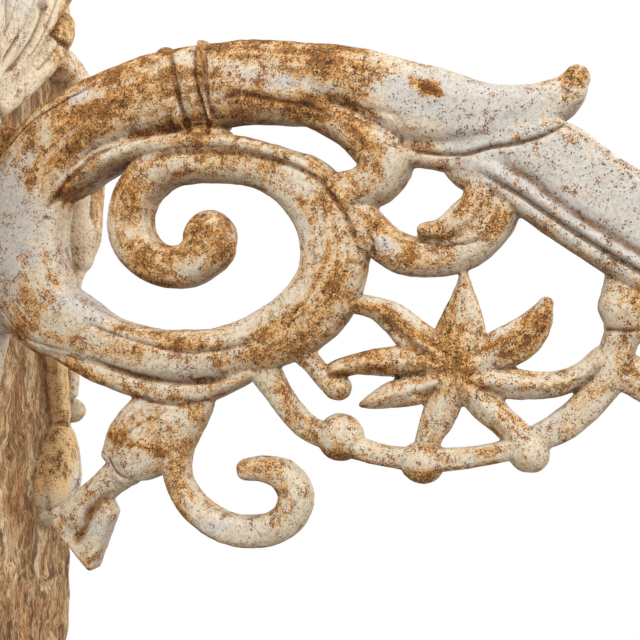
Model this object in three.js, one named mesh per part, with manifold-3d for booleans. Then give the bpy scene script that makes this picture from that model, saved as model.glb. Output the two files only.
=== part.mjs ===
// Ornate cast iron wall bracket: a spiral scroll arm with a flower under it, on a leafy wall plate.
// Millimetres, +Z up, +X away from the wall, Y across. The origin is on the wall plate's back face.
// The arm lies in the XZ plane and both its faces are alike; the plate's relief is mirrored in Y.
import * as THREE from 'three';
import Module from 'manifold-3d';
import { mergeVertices } from 'three/addons/utils/BufferGeometryUtils.js';

const wasm = await Module();
wasm.setup();

// Driving sizes
const armReach = 416; // from the plate's face to the far side of the beam's roll
const armHalfDepth = 15;
const ringHalfDepth = 12.5;
const hornHalfDepth = 15;
const hookHalfDepth = 13;
const beamHalfDepth = 12;
const leafHalfDepth = 10.5;
const petalHalfDepth = 6;
const rimHalfDepth = 6;
const beadHalfDepth = 10;
const dropLeafHalfDepth = 13;
const curlHalfDepth = 8.5;
const plateThickness = 12;
const plateHalfWidth = 89;
const plateHeight = 450;
const plateTop = 228;
const plateCornerRadius = 22;
const plateEdgeBevel = 2;
const reliefHeight = 25;
const reliefRooting = 2; // depth of the relief's root inside the plate
const flangeThickness = 11;
const seatClearance = 0.3; // between the arm and the plate's face
const reliefClearance = 0.8; // between the arm and the plate's relief

// The arm is drawn from its root outwards at this reach, the plate's relief on a board of this size
const drawnReach = 416;
const drawnRoot = 12.3;
const drawnHalfWidth = 89;
const drawnHeight = 450;
const armScale = armReach / drawnReach;
const seatX = plateThickness + seatClearance;

// Spacing of the section rows along a path
const turnPerRow = THREE.MathUtils.degToRad(20);
const rowSpacing = 1.5; // in half widths
const leastSpacing = 12;
const endRow = THREE.MathUtils.degToRad(48);

// Section profiles: [place across, share of the half depth], from the path's right side at -1 to its left at 1
const roundProfile = [[-1, 0.3], [-0.68, 0.78], [0, 1], [0.68, 0.78], [1, 0.3]];
const ridgeProfile = [[-1, 0.4], [0, 1], [1, 0.4]];
const slimProfile = [[-1, 0.38], [-0.4, 0.96], [0.4, 0.96], [1, 0.38]];
const fullProfile = [[-1, 0.3], [-0.8, 0.64], [-0.42, 0.91], [0, 1], [0.42, 0.91], [0.8, 0.64], [1, 0.3]];
const crownProfile = [[-1, 0.3], [-0.8, 0.68], [-0.42, 0.93], [0, 1], [0.42, 0.93], [0.8, 0.68], [1, 0.3]];
const edgedProfile = [[-1, 0.3], [-0.88, 0.6], [-0.76, 0.56], [-0.44, 0.9], [0.1, 1], [0.76, 0.7], [1, 0.3]];
const splitProfile = [[-1, 0.3], [-0.8, 0.7], [-0.3, 1], [0.16, 0.9], [0.38, 0.64], [0.64, 0.82], [1, 0.3]];
const bandedProfile = [[-1, 0.4], [-0.74, 0.84], [-0.16, 0.88], [0.04, 0.58], [0.2, 0.84], [0.7, 0.8], [1, 0.34]];
const beamProfile = [[-1, 0.5], [-0.84, 0.74], [-0.68, 0.54], [-0.5, 0.84], [-0.34, 0.66], [0, 0.96], [0.6, 0.94], [1, 0.35]];

function mixProfiles(from, to, share) {
  return from.map(([u, h], i) => [u + (to[i][0] - u) * share, h + (to[i][1] - h) * share]);
}

// The profile that rules at a knot, between stops of [knot, profile]
function profileBetween(stops, knot) {
  const next = Math.max(1, stops.findIndex(([place]) => place >= knot));
  const [from, fromProfile] = stops[next - 1];
  const [to, toProfile] = stops[next];
  return mixProfiles(fromProfile, toProfile, (knot - from) / (to - from));
}

// Curve parameters where the rows stand: closer where the path turns or grows narrow
function rowPlaces(place, size, spans) {
  const fine = spans * 8;
  const kept = [0];
  let turned = 0;
  let walked = 0;
  for (let i = 1; i < fine; i++) {
    const t = i / fine;
    const last = (i - 1) / fine;
    turned += place.getTangent(last).angleTo(place.getTangent(t));
    walked += place.getPoint(last).distanceTo(place.getPoint(t));
    if (turned > turnPerRow || walked > Math.max(leastSpacing, rowSpacing * size.getPoint(t).x)) {
      kept.push(t);
      turned = 0;
      walked = 0;
    }
  }
  return [...kept, 1];
}

// A carved bar along [along, up, half width, half depth] points: rows of sections, with rounded ends.
// Grown sections stand on the same rows, so that a grown bar clears the plain one everywhere
function strokeRows(points, { profileAt = () => roundProfile, start = true, end = true, grow = 0 } = {}) {
  const place = new THREE.CatmullRomCurve3(points.map(([a, b]) => new THREE.Vector3(a, b, 0)), false, 'catmullrom', 0.5);
  const size = new THREE.CatmullRomCurve3(points.map(([, , w, d]) => new THREE.Vector3(w, d, 0)), false, 'catmullrom', 0.5);
  const spans = points.length - 1;
  const rowAt = (t, endAngle) => {
    const centre = place.getPoint(t);
    const along = place.getTangent(t);
    const across = new THREE.Vector3(-along.y, along.x, 0);
    const { x: halfWidth, y: halfDepth } = size.getPoint(t).addScalar(grow);
    const shrink = Math.cos(endAngle);
    centre.addScaledVector(along, Math.sin(endAngle) * halfWidth);
    const profile = profileAt(t * spans);
    const front = profile.map(([u, h]) => [u * halfWidth * shrink, h * halfDepth * shrink]);
    const back = front.map(([u, h]) => [u, -h]).reverse();
    return [...front, ...back].map(([u, h]) => centre.clone().addScaledVector(across, u).setZ(h));
  };
  return [
    ...(start ? [rowAt(0, -endRow)] : []),
    ...rowPlaces(place, size, spans).map((t) => rowAt(t, 0)),
    ...(end ? [rowAt(1, endRow)] : []),
  ];
}

// Closes rows of sections into one solid, with a fan at each end
function rowsToSolid(rows) {
  const count = rows[0].length;
  const vertices = rows.flat();
  const triangles = [];
  for (let r = 0; r + 1 < rows.length; r++) {
    for (let i = 0; i < count; i++) {
      const a = r * count + i;
      const b = r * count + (i + 1) % count;
      triangles.push([a, b, b + count], [a, b + count, a + count]);
    }
  }
  [0, rows.length - 1].forEach((r) => {
    const centre = rows[r].reduce((sum, v) => sum.add(v), new THREE.Vector3()).divideScalar(count);
    const hub = vertices.push(centre) - 1;
    for (let i = 0; i < count; i++) {
      const a = r * count + i;
      const b = r * count + (i + 1) % count;
      triangles.push(r === 0 ? [hub, b, a] : [hub, a, b]);
    }
  });
  return solidFrom(vertices.flatMap((v) => [v.x, v.y, v.z]), triangles.flat());
}

// Six times the volume that the triangles enclose, negative where they face inwards
function signedVolume(positions, triangles) {
  const corner = (i) => new THREE.Vector3().fromArray(positions, triangles[i] * 3);
  let sum = 0;
  for (let i = 0; i < triangles.length; i += 3) {
    sum += corner(i).dot(corner(i + 1).cross(corner(i + 2)));
  }
  return sum;
}

function solidFrom(positions, triangles) {
  const facing = [...triangles];
  if (signedVolume(positions, facing) < 0) {
    for (let i = 0; i < facing.length; i += 3) {
      [facing[i + 1], facing[i + 2]] = [facing[i + 2], facing[i + 1]];
    }
  }
  return new wasm.Manifold(new wasm.Mesh({
    numProp: 3,
    vertProperties: new Float32Array(positions),
    triVerts: new Uint32Array(facing),
  }));
}

function solidFromGeometry(geometry) {
  geometry.deleteAttribute('normal');
  geometry.deleteAttribute('uv');
  const merged = mergeVertices(geometry, 1e-4);
  return solidFrom([...merged.attributes.position.array], [...merged.index.array]);
}

function geometryFrom(solid) {
  const mesh = solid.getMesh();
  const geometry = new THREE.BufferGeometry();
  geometry.setAttribute('position', new THREE.BufferAttribute(new Float32Array(mesh.vertProperties), 3));
  geometry.setIndex(new THREE.BufferAttribute(new Uint32Array(mesh.triVerts), 1));
  return geometry;
}

const fuse = (solids) => solids.reduce((all, next) => all.add(next));

// The drawing's plane stands in XZ for the arm, and in YZ facing +X for the plate
function placed(solid, axisAlong, axisUp, axisDepth, origin) {
  const placing = new THREE.Matrix4().makeBasis(axisAlong, axisUp, axisDepth).setPosition(origin);
  return solid.transform(placing.toArray());
}

const xAxis = new THREE.Vector3(1, 0, 0);
const yAxis = new THREE.Vector3(0, 1, 0);
const zAxis = new THREE.Vector3(0, 0, 1);
const placedInArm = (solid) => placed(solid, xAxis, zAxis, yAxis.clone().negate(), new THREE.Vector3());
const placedOnPlate = (solid, faceX) => placed(solid, yAxis, zAxis, xAxis, new THREE.Vector3(faceX, 0, 0));

const armX = (x) => seatX + (x - drawnRoot) * armScale;
const armZ = (z) => z * armScale;

// Half widths are drawn with the path; half depths are sizes in their own right
function armStroke(drawn, options) {
  const points = drawn.map(([x, z, w, d]) => [armX(x), armZ(z), w * armScale, d]);
  return placedInArm(rowsToSolid(strokeRows(points, options)));
}

// A flattened ball in the arm's plane, its long half axis turned by an angle
function armBall([x, z], [halfLength, halfWidth, halfDepth], angle = 0, sides = 12) {
  const ball = new THREE.SphereGeometry(1, sides, 6);
  ball.scale(halfLength * armScale, halfWidth * armScale, halfDepth);
  ball.rotateZ(THREE.MathUtils.degToRad(angle));
  ball.translate(armX(x), armZ(z), 0);
  return placedInArm(solidFromGeometry(ball));
}

const plateY = (y) => y * plateHalfWidth / drawnHalfWidth;
const plateZ = (z) => z * plateHeight / drawnHeight;

// Heights on the plate are shares of the relief's full height
function plateStroke(drawn, options) {
  const points = drawn.map(([y, z, w, share]) => [plateY(y), plateZ(z), plateY(w), share * reliefHeight]);
  return placedOnPlate(rowsToSolid(strokeRows(points, options)), plateThickness);
}

function plateBall([y, z], [halfY, halfZ], share) {
  const ball = new THREE.SphereGeometry(1, 10, 6);
  ball.scale(plateY(halfY), plateY(halfZ), share * reliefHeight);
  ball.translate(plateY(y), plateZ(z), 0);
  return placedOnPlate(solidFromGeometry(ball), plateThickness);
}

// Main scroll: from under the horn, leftwards over the top, round the ring and into the eye
function mainScroll(grow = 0) {
  const arm = armHalfDepth;
  const ring = ringHalfDepth;
  const eye = ringHalfDepth - 1;
  const points = [
    [232, 110, 12, arm - 6], [220, 114, 17, arm - 3], [205, 118, 20.6, arm - 1], [180, 121.4, 20.8, arm],
    [158, 121.6, 21.4, arm], [138, 120.6, 21.2, arm], [120, 118, 21.6, arm], [100, 113, 21, arm], [80, 106.5, 20.8, arm],
    [62.5, 94.8, 22.6, arm], [48.5, 77.5, 24.2, arm], [41.3, 50, 25.2, arm], [44, 24, 25, arm], [57, 4, 22.5, arm],
    [76, -4.5, 18, arm], [98, -12.5, 13.6, ring], [120, -17.2, 13.2, ring], [140, -18.6, 13.6, ring],
    [160, -17.2, 13.4, ring], [177, -13, 14.2, ring], [191, -8.2, 15.8, ring], [204, -1.2, 17, ring],
    [215, 9, 17.5, ring], [221.5, 22, 17, ring], [223, 37, 17.4, ring], [219.3, 52, 17, ring],
    [208.6, 65.6, 16, ring], [194.6, 74.2, 13, eye], [178, 80.2, 12, eye], [160, 83, 11.8, eye],
    [143, 83.8, 12, eye], [128, 80.8, 11.8, eye], [115.5, 71, 11.6, eye],
    [108.6, 57, 11.8, eye], [109.9, 43.6, 11.6, eye], [118.7, 33.2, 11, eye],
    [131, 27.9, 11.2, eye], [144, 28.8, 11.6, ring], [153.5, 35.5, 12.5, ring + 1],
  ];
  // Split by the horn, edged at the wall, banded under the eye
  const stops = [
    [0, splitProfile], [3, splitProfile], [5, crownProfile], [6, edgedProfile], [11, edgedProfile],
    [14, bandedProfile], [19, bandedProfile], [22, crownProfile], [38, crownProfile],
  ];
  return fuse([
    armStroke(points, { profileAt: (knot) => profileBetween(stops, knot), grow }),
    armBall([154.8, 42.9], [14.3, 14.3, ring + 1.5], 0, 16),
  ]);
}

// Raised bead that leaves the arm at the wall and follows the ring's outer edge
function ringBead() {
  const d = ringHalfDepth + 0.5;
  return armStroke([
    [66, 68, 6, d], [77, 76, 6.4, d], [89, 84, 5.8, d], [101, 88.8, 5.2, d], [114, 92, 4.6, d], [130, 94.3, 4, d],
    [146, 94.6, 3.6, d], [163, 92.6, 3.4, d], [180, 89, 3.4, d], [196, 83, 3.4, d], [210, 74.6, 3.4, d],
    [221, 64, 3.2, d], [229, 52, 3, d], [234, 38, 2.6, d - 1], [235.5, 24, 1.8, d - 2],
  ]);
}

// Husk: the lowest band under the ring
function husk() {
  const d = ringHalfDepth - 1.5;
  return armStroke([
    [66, -17, 4.5, d], [82, -24.5, 6, d], [100, -31, 6.4, d], [118, -36, 6.6, d],
    [138, -38.2, 6.6, d], [154, -36.6, 6, d], [167, -32.5, 4.6, d - 1], [180, -27, 3, d - 2],
  ]);
}

// Collar: raised rings round the arm, bulging towards the wall
function collar() {
  const ringRound = (top, middle, bottom, halfWidth, rise) => armStroke([
    [...top, halfWidth, armHalfDepth * 0.55 + rise], [...middle, halfWidth, armHalfDepth + rise],
    [...bottom, halfWidth, armHalfDepth * 0.55 + rise],
  ]);
  return fuse([
    ringRound([131, 139], [129.5, 119.5], [136, 103], 4.2, 2.2),
    ringRound([149.5, 142], [148, 121], [153, 102], 3.4, 2.6),
    ringRound([157, 140.5], [157.5, 121], [160.5, 103], 2.6, 1.4),
  ]);
}

// Horn: the leaf that runs on from the arm and turns up at its tip
function horn() {
  const d = hornHalfDepth;
  return armStroke([
    [196, 125, 14, d - 2], [210, 123.4, 14.6, d - 1], [224, 120.2, 15.4, d - 0.5], [241, 114.4, 16.4, d], [260, 104.4, 19.4, d + 0.5],
    [280, 99, 18.4, d], [300, 96, 14.2, d - 1], [318, 97, 11.8, d - 2.5], [329, 101, 10.2, d - 4.5],
    [337, 107.4, 8.4, d - 6.5], [340.6, 113, 4.8, d - 9],
  ], { profileAt: () => fullProfile });
}

// Hook: the arm's lower strand, turned down to the ring
function hook() {
  const d = hookHalfDepth;
  return armStroke([
    [188, 109.5, 8, d - 2], [205, 106, 7.4, d - 1], [222, 99, 8.4, d], [237, 90, 10.5, d + 0.5], [248.5, 79, 13.6, d],
    [245.5, 69, 12, d - 1], [236, 64.4, 10.6, d - 2], [225, 64.5, 8.4, d - 3],
  ]);
}

// Beam: the moulded bar that leaves from under the horn and rolls under at its far end
function beam() {
  const d = beamHalfDepth;
  return fuse([
    armStroke([
      [261, 83, 8.5, d - 3], [277, 83.5, 12.6, d - 2], [293, 81.5, 15.5, d - 1], [308, 76.5, 20, d], [325, 68.4, 23.4, d],
      [343, 54.2, 22.8, d], [362, 41, 22.8, d], [381, 27, 21.6, d], [398.5, 9, 19.4, d], [411, -12, 16.8, d],
      [413.8, -35, 14.4, d], [405.5, -54.5, 12.2, d], [389.5, -62, 10.4, d], [377.5, -54, 9, d - 1], [377, -42, 8, d - 1],
    ], { profileAt: () => beamProfile }),
    armBall([384.5, -36.5], [10.6, 10.6, d + 1]),
  ]);
}

// Leaf scroll between ring and beam, with its folded lip
function leafScroll() {
  const d = leafHalfDepth;
  return fuse([
    armStroke([
      [236, 49, 10.5, d - 0.5], [246.5, 38.6, 9.8, d - 0.5], [258, 31.8, 9.6, d - 0.5], [270, 30.2, 9.4, d - 0.5],
      [282, 31.2, 9.4, d - 0.5], [293, 36.8, 9.6, d - 0.5], [301.4, 46.8, 9.6, d - 0.5], [306, 58, 9, d - 0.5],
    ]),
    armStroke([
      [268.5, 42.6, 3.6, d], [277, 42.4, 6, d + 1], [286, 47, 8, d + 1], [293.5, 55, 7.8, d + 0.5],
      [295.5, 65, 9.8, d], [288, 75, 11.6, d - 1],
    ]),
  ]);
}

// Flower: eight fingers round a low boss
function flower() {
  const d = petalHalfDepth;
  const petals = [
    [[284, -22, 9, d], [285, -8, 12.4, d], [286.2, 4, 9, d], [286.8, 14, 5, d - 1], [287, 22, 1.8, d - 2]],
    [[288, -24, 9, d], [303, -15, 9.8, d], [315, -7.2, 9.2, d], [321.4, 0.4, 6.8, d - 0.5], [324.8, 7.6, 3.4, d - 1.5]],
    [[288, -27, 8, d], [304, -29, 8, d], [318, -30.4, 6.6, d], [330, -29.4, 5.8, d], [341, -24.6, 5.4, d], [349, -17, 5, d]],
    [[286, -29, 7, d], [296, -39, 8, d], [306, -48, 7, d], [316, -58, 7.6, d]],
    [[281, -29, 9, d], [275.5, -44, 8.6, d], [270.5, -56, 6.4, d], [268, -66, 6, d]],
    [[279, -28, 8, d], [263, -33.4, 8, d], [250.5, -37, 6.4, d], [242, -40, 3.8, d - 1], [237, -41.6, 1.6, d - 2.5]],
    [[277, -22, 8.5, d], [260, -20.5, 8, d], [245, -20.6, 6.6, d], [233, -22, 5, d], [224, -24.5, 4.6, d], [218, -28, 4.6, d]],
    [[276, -17.5, 8.5, d], [263, -8, 8.8, d], [253, 0.6, 7.6, d], [243, 6, 5.8, d], [232, 8.3, 5, d]],
  ];
  return fuse([
    ...petals.map((points) => armStroke(points, { profileAt: () => ridgeProfile, start: false })),
    armBall([283, -22.5], [27, 18, d * 0.72], 0, 16),
    armBall([282, -24], [11, 11, d + 2.4]),
  ]);
}

// Beaded rim under the flower, the bud that hangs it from the beam, and its stay to the beam's end
function rim() {
  const d = rimHalfDepth;
  const bead = beadHalfDepth;
  const slim = { profileAt: () => slimProfile, start: false, end: false };
  return fuse([
    armStroke([
      [184, -24, 8.5, d + 1], [193, -37, 7, d], [200.5, -46.5, 6.4, d], [209.5, -54, 6.2, d], [226, -60.6, 6, d],
      [242, -65, 5.4, d], [256, -67, 5.2, d], [267.5, -67.3, 5.8, d], [279, -66.6, 5.6, d], [292, -64.6, 5, d],
      [305, -61.4, 5, d], [318, -56.4, 6.2, d], [332, -48.6, 7.2, d], [343, -38.4, 7.4, d], [352.2, -25.6, 8, d + 1],
      [356.6, -11, 7.8, d + 2], [360, 0, 8, d + 3],
    ], slim),
    armBall([226, -58.2], [11.8, 11.8, bead]),
    armBall([267, -68.6], [10.8, 10.2, bead]),
    armBall([317, -61.2], [9.8, 9.8, bead]),
    armStroke([[364, 30, 12, bead], [362, 16, 11.8, bead], [360.5, 5, 13.2, bead + 1.5], [360, -2, 10, bead]]),
    armStroke([[350, -22, 8, d], [359, -23.5, 9, d], [369, -29, 8.4, d], [380, -38, 7.4, d + 1]], slim),
    armStroke([[205, -16, 5.8, d], [211.6, -22.2, 5, d], [217.6, -29, 4.9, d], [222.8, -35, 4.6, d]], slim),
    armBall([224.6, -33.6], [6.6, 6.4, d + 1.4]),
  ]);
}

// Leaf under the ring, with the curl and the cleft foot that grow from it
function dropLeaf() {
  const d = dropLeafHalfDepth;
  const c = curlHalfDepth;
  return fuse([
    armStroke([
      [136, -34, 23, c], [137, -47, 19, c + 1.5], [136.6, -59, 12, c + 1.5], [135.6, -72, 7.8, c + 1], [137, -83.6, 6.8, c + 0.5],
      [143.4, -94.6, 7, c + 0.5], [152.6, -102.4, 7.4, c + 0.5], [164, -107, 7.8, c + 0.5], [176, -108.4, 8, c + 0.5],
      [188.4, -106.4, 8.3, c + 0.5], [198.6, -99.8, 8.6, c + 0.5], [202.6, -89, 8.7, c + 0.5], [196.4, -79, 7.8, c],
      [186, -75.6, 6.6, c - 0.5], [176, -76.6, 5.6, c - 1.5],
    ]),
    armStroke([[126, -43, 9, d - 4], [115.5, -51, 10.4, d - 2.5], [106.5, -61.5, 10, d - 2], [99.5, -71.5, 6.6, d - 3.5]]),
    armStroke([
      [132, -52, 8, d - 1], [126, -60, 14, d], [117, -69, 17, d + 0.6], [110, -77, 13, d - 0.4], [106.5, -81.5, 8, d - 2.5],
    ], { profileAt: () => fullProfile }),
    armStroke([[108, -78, 9.5, c], [95, -88, 8.6, c], [84, -97.5, 8.6, c], [76, -106, 11, c]]),
    footBlade(),
  ]);
}

// Cleft foot: a bevelled blade with a raised ridge
function footBlade() {
  const corners = [[95, -95.5], [99.8, -103.5], [84.6, -135], [81, -135.6], [63.5, -114.5], [61.5, -104], [84, -92]];
  const outline = new THREE.Shape(corners.map(([x, z]) => new THREE.Vector2(armX(x), armZ(z))));
  const bevel = 3 * armScale;
  const flat = 2 * (curlHalfDepth - 1 - bevel);
  const blade = new THREE.ExtrudeGeometry(outline, {
    depth: flat, bevelThickness: bevel, bevelSize: bevel / 2, bevelOffset: -bevel / 2, bevelSegments: 1, steps: 1,
  });
  blade.translate(0, 0, -flat / 2);
  return fuse([
    placedInArm(solidFromGeometry(blade)),
    armStroke([[84, -97, 6, curlHalfDepth], [80, -108, 6, curlHalfDepth + 0.5], [76.5, -118, 3, curlHalfDepth - 0.5]],
      { profileAt: () => ridgeProfile }),
  ]);
}

// Root: the arm's swelling against the plate, and the long flat leaf that seats it
function armRoot(grow = 0) {
  const leafHalfWidths = [[-36, 5], [-22, 12], [0, 20], [26, 23], [60, 23], [92, 17], [108, 10], [120, 3]];
  const leaf = leafHalfWidths.map(([z, halfWidth]) => [0, armZ(z), halfWidth * armScale, flangeThickness]);
  const d = armHalfDepth - 2;
  return fuse([
    placedOnPlate(rowsToSolid(strokeRows(leaf, { grow })), seatX),
    armStroke([[27, 98, 12, d - 2], [24, 60, 13, d], [24, 30, 13, d], [30, 4, 12, d - 2]], { grow }),
  ]);
}

function scrollArm() {
  const body = fuse([
    mainScroll(), ringBead(), husk(), collar(), horn(), hook(), beam(), leafScroll(), flower(), rim(), dropLeaf(), armRoot(),
  ]);
  return body.trimByPlane([1, 0, 0], seatX);
}

// Wall plate's flat board
function board() {
  const r = plateCornerRadius;
  const w = plateHalfWidth;
  const bottom = plateTop - plateHeight;
  const outline = new THREE.Shape();
  outline.absarc(w - r, plateTop - r, r, 0, Math.PI / 2, false);
  outline.absarc(-w + r, plateTop - r, r, Math.PI / 2, Math.PI, false);
  outline.absarc(-w + r, bottom + r, r, Math.PI, Math.PI * 1.5, false);
  outline.absarc(w - r, bottom + r, r, Math.PI * 1.5, Math.PI * 2, false);
  outline.closePath();
  const bevel = plateEdgeBevel;
  const body = new THREE.ExtrudeGeometry(outline, {
    depth: plateThickness - bevel, bevelThickness: bevel, bevelSize: bevel, bevelOffset: -bevel, bevelSegments: 1,
    steps: 1, curveSegments: 4,
  });
  return placedOnPlate(solidFromGeometry(body), 0).trimByPlane([1, 0, 0], 0);
}

// Relief on the plate's far half; the near half mirrors it
function reliefHalf() {
  const lobes = [
    [[10, 124, 7, 0.4], [28, 143, 10, 0.62], [46, 163, 11.5, 0.78], [60, 180, 10.5, 0.78], [68, 190, 8, 0.62]],
    [[7, 130, 7, 0.4], [22, 160, 10.5, 0.72], [40, 190, 12.5, 0.9], [55, 207, 13.5, 0.86], [65, 215, 10, 0.64]],
    [[3, 134, 7, 0.4], [10, 168, 9, 0.76], [20, 198, 10, 1], [27, 214, 9, 0.8]],
  ];
  const strap = [
    [57, 168, 9, 0.56], [72, 163, 10.5, 0.68], [86, 150, 11.5, 0.76], [94, 128, 12, 0.8], [95, 104, 13, 0.8],
    [91, 78, 16, 0.8], [89, 56, 16.5, 0.76], [88, 41, 12, 0.6],
  ];
  const rearStem = [[88, 36, 8, 0.44], [86, 20, 4, 0.34], [82, -8, 4.6, 0.4], [81, -30, 5, 0.44], [80, -48, 5, 0.4]];
  const frontStem = [[28, 28, 6, 0.32], [50, 10, 7, 0.38], [62, -12, 7.2, 0.44], [66, -36, 7.2, 0.44], [70, -62, 6.6, 0.4]];
  const tear = [[71, -66, 6, 0.36], [69, -79, 13, 0.6], [66, -95, 18, 0.72], [63, -110, 17, 0.68], [61, -122, 10, 0.46]];
  return fuse([
    ...lobes.map((points) => plateStroke(points)),
    plateStroke(strap), plateStroke(rearStem), plateStroke(frontStem), plateStroke(tear, { profileAt: () => fullProfile }),
    plateBall([85.5, -60], [8, 8.4], 0.5),
  ]);
}

function wallPlate() {
  const half = reliefHalf();
  const centreLobe = plateStroke([[0, 138, 6, 0.5], [0, 172, 9, 0.8], [0, 200, 11, 1], [0, 214, 9, 0.8]]);
  const relief = fuse([half, half.mirror([0, 1, 0]), centreLobe])
    .trimByPlane([1, 0, 0], plateThickness - reliefRooting)
    .subtract(mainScroll(reliefClearance))
    .subtract(armRoot(reliefClearance));
  return board().add(relief);
}

function subPart(name, solid, material) {
  const mesh = new THREE.Mesh(geometryFrom(solid), material);
  mesh.name = name;
  return mesh;
}

const paintedIron = new THREE.MeshStandardMaterial({ color: 0xcbbfa8, roughness: 0.75, metalness: 0.1 });
const rustedIron = new THREE.MeshStandardMaterial({ color: 0xa37f5c, roughness: 0.85, metalness: 0.1 });

const bracket = new THREE.Group();
bracket.add(subPart('wall_plate', wallPlate(), rustedIron));
bracket.add(subPart('scroll_arm', scrollArm(), paintedIron));

export default bracket;
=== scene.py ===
import math
import bpy
import numpy as np
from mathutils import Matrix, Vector


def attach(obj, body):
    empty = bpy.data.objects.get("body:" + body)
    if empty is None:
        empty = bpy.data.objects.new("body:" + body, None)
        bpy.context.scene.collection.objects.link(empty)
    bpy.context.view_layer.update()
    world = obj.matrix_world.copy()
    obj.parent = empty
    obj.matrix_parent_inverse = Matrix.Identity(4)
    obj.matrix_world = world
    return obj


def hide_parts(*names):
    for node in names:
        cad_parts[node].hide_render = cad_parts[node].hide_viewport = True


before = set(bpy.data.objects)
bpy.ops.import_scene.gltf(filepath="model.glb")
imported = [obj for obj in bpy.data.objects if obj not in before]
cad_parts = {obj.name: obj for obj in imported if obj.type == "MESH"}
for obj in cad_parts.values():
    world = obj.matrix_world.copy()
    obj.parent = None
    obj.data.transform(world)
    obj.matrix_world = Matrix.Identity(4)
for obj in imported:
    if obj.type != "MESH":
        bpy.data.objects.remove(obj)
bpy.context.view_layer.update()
mm = 0.001  # shapes are worked out in millimetres and written to meshes in metres


# Smooth step: 3t^2 - 2t^3, where t runs from 0 at low to 1 at high
def ramp(x, low, high):
    t = np.clip((x - low) / (high - low), 0, 1)
    return t * t * (3 - 2 * t)


# Curve through points a, b, c, d on the span from b to c:
# half of 2b + (c - a)t + (2a - 5b + 4c - d)t^2 + (3b - a - 3c + d)t^3
def curveThrough(points, perSpan):
    p = np.asarray(points, float)
    p = np.vstack([2 * p[0] - p[1], p, 2 * p[-1] - p[-2]])
    spans = len(p) - 3
    knot = np.linspace(0, spans, spans * perSpan + 1)
    i = np.minimum(knot.astype(int), spans - 1)
    t = (knot - i)[:, None]
    a, b, c, d = p[i], p[i + 1], p[i + 2], p[i + 3]
    square, cube = 2 * a - 5 * b + 4 * c - d, 3 * b - a - 3 * c + d
    return knot, 0.5 * (2 * b + (c - a) * t + square * t**2 + cube * t**3)


# Rows of sections along a path of (x, z, half width, half depth). In a section u = cos a and h = sin a,
# each with its size raised to the power `square`. A band (spot, width, rise, from knot, to knot, fade)
# lifts h by rise * exp(-((u - spot) / width)^2). At both ends the rows shrink as a quarter circle
def barRows(points, bands=(), square=0.75, across=56, perSpan=14, least=0.3, endRows=6):
    knot, path = curveThrough(points, perSpan)
    place, wide, deep = path[:, :2], np.maximum(path[:, 2], least), np.maximum(path[:, 3], least)
    along = np.gradient(place, axis=0)
    along /= np.linalg.norm(along, axis=1)[:, None]
    turn = np.linspace(0, math.pi / 2, endRows + 2)[1:-1]
    angle = np.concatenate([-turn[::-1], np.zeros(len(knot)), turn])
    pick = np.clip(np.arange(len(angle)) - endRows, 0, len(knot) - 1)
    knot, place, wide, deep, along = knot[pick], place[pick], wide[pick], deep[pick], along[pick]
    shrink = np.cos(angle)[:, None]
    centre = place + along * (np.sin(angle) * wide)[:, None]
    side = np.stack([-along[:, 1], along[:, 0]], 1)
    a = np.linspace(0, 2 * math.pi, across, endpoint=False)
    u = np.sign(np.cos(a)) * np.abs(np.cos(a)) ** square
    h = np.sign(np.sin(a)) * np.abs(np.sin(a)) ** square
    lift = np.ones((len(knot), across))
    for spot, width, rise, start, stop, fade in bands:
        here = ramp(knot, start - fade, start + fade) * (1 - ramp(knot, stop - fade, stop + fade))
        lift += rise * here[:, None] * np.exp(-((u - spot) / width) ** 2)[None, :]
    offset = u[None, :] * wide[:, None] * shrink
    x = centre[:, :1] + side[:, :1] * offset
    z = centre[:, 1:] + side[:, 1:] * offset
    y = -h[None, :] * deep[:, None] * shrink * lift
    return np.stack([x, y, z], 2)


# Rows of closed sections become one closed skin, with a fan at each end
def skin(rows):
    count, around = rows.shape[:2]
    i = np.arange(count - 1)[:, None] * around
    j = np.arange(around)[None, :]
    k = (j + 1) % around
    a, b, c, d = np.stack([i + j, i + k, i + around + k, i + around + j], 2).reshape(-1, 4).T
    points = np.vstack([rows.reshape(-1, 3), rows[0].mean(0), rows[-1].mean(0)])
    n = count * around
    ring = np.arange(around)
    after = (ring + 1) % around
    head = np.stack([np.full(around, n), after, ring], 1)
    tail = np.stack([np.full(around, n + 1), n - around + ring, n - around + after], 1)
    tris = np.vstack([np.stack([a, b, c], 1), np.stack([a, c, d], 1), head, tail])
    corner = points[tris]
    if np.einsum("ij,ij->i", corner[:, 0], np.cross(corner[:, 1], corner[:, 2])).sum() < 0:
        tris = tris[:, ::-1]
    return points, tris


drawnPaths = []  # (points on the path, half widths) of every bar of the arm, for streaks that follow it


# Points of (x, z, half width), some with a fourth value that is added to the depth all of them get
def deepen(points, depth):
    return [(x, z, wide, sum(more, depth)) for x, z, wide, *more in points]


def bar(points, depth=0, **shape):
    points = deepen(points, depth)
    path = curveThrough(points, 6)[1]
    drawnPaths.append((path[:, :2], np.maximum(path[:, 2], 1)))
    return skin(barRows(points, **shape))


# Ball with x = long sin v cos w, y = deep cos v, z = wide sin v sin w
def ball(x, z, long, wide, deep, steps=26):
    down = np.linspace(0, math.pi, steps)[1:-1]
    v, w = np.meshgrid(down, np.linspace(0, 2 * math.pi, steps * 2, endpoint=False), indexing="ij")
    rows = np.stack([x + np.sin(v) * np.cos(w) * long, np.cos(v) * deep, z + np.sin(v) * np.sin(w) * wide], 2)
    return skin(rows)


# Several skins as one list of points and triangles
def together(skins):
    points, tris, start = [], [], 0
    for p, t in skins:
        points.append(p)
        tris.append(t + start)
        start += len(p)
    return np.vstack(points), np.vstack(tris)


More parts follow.
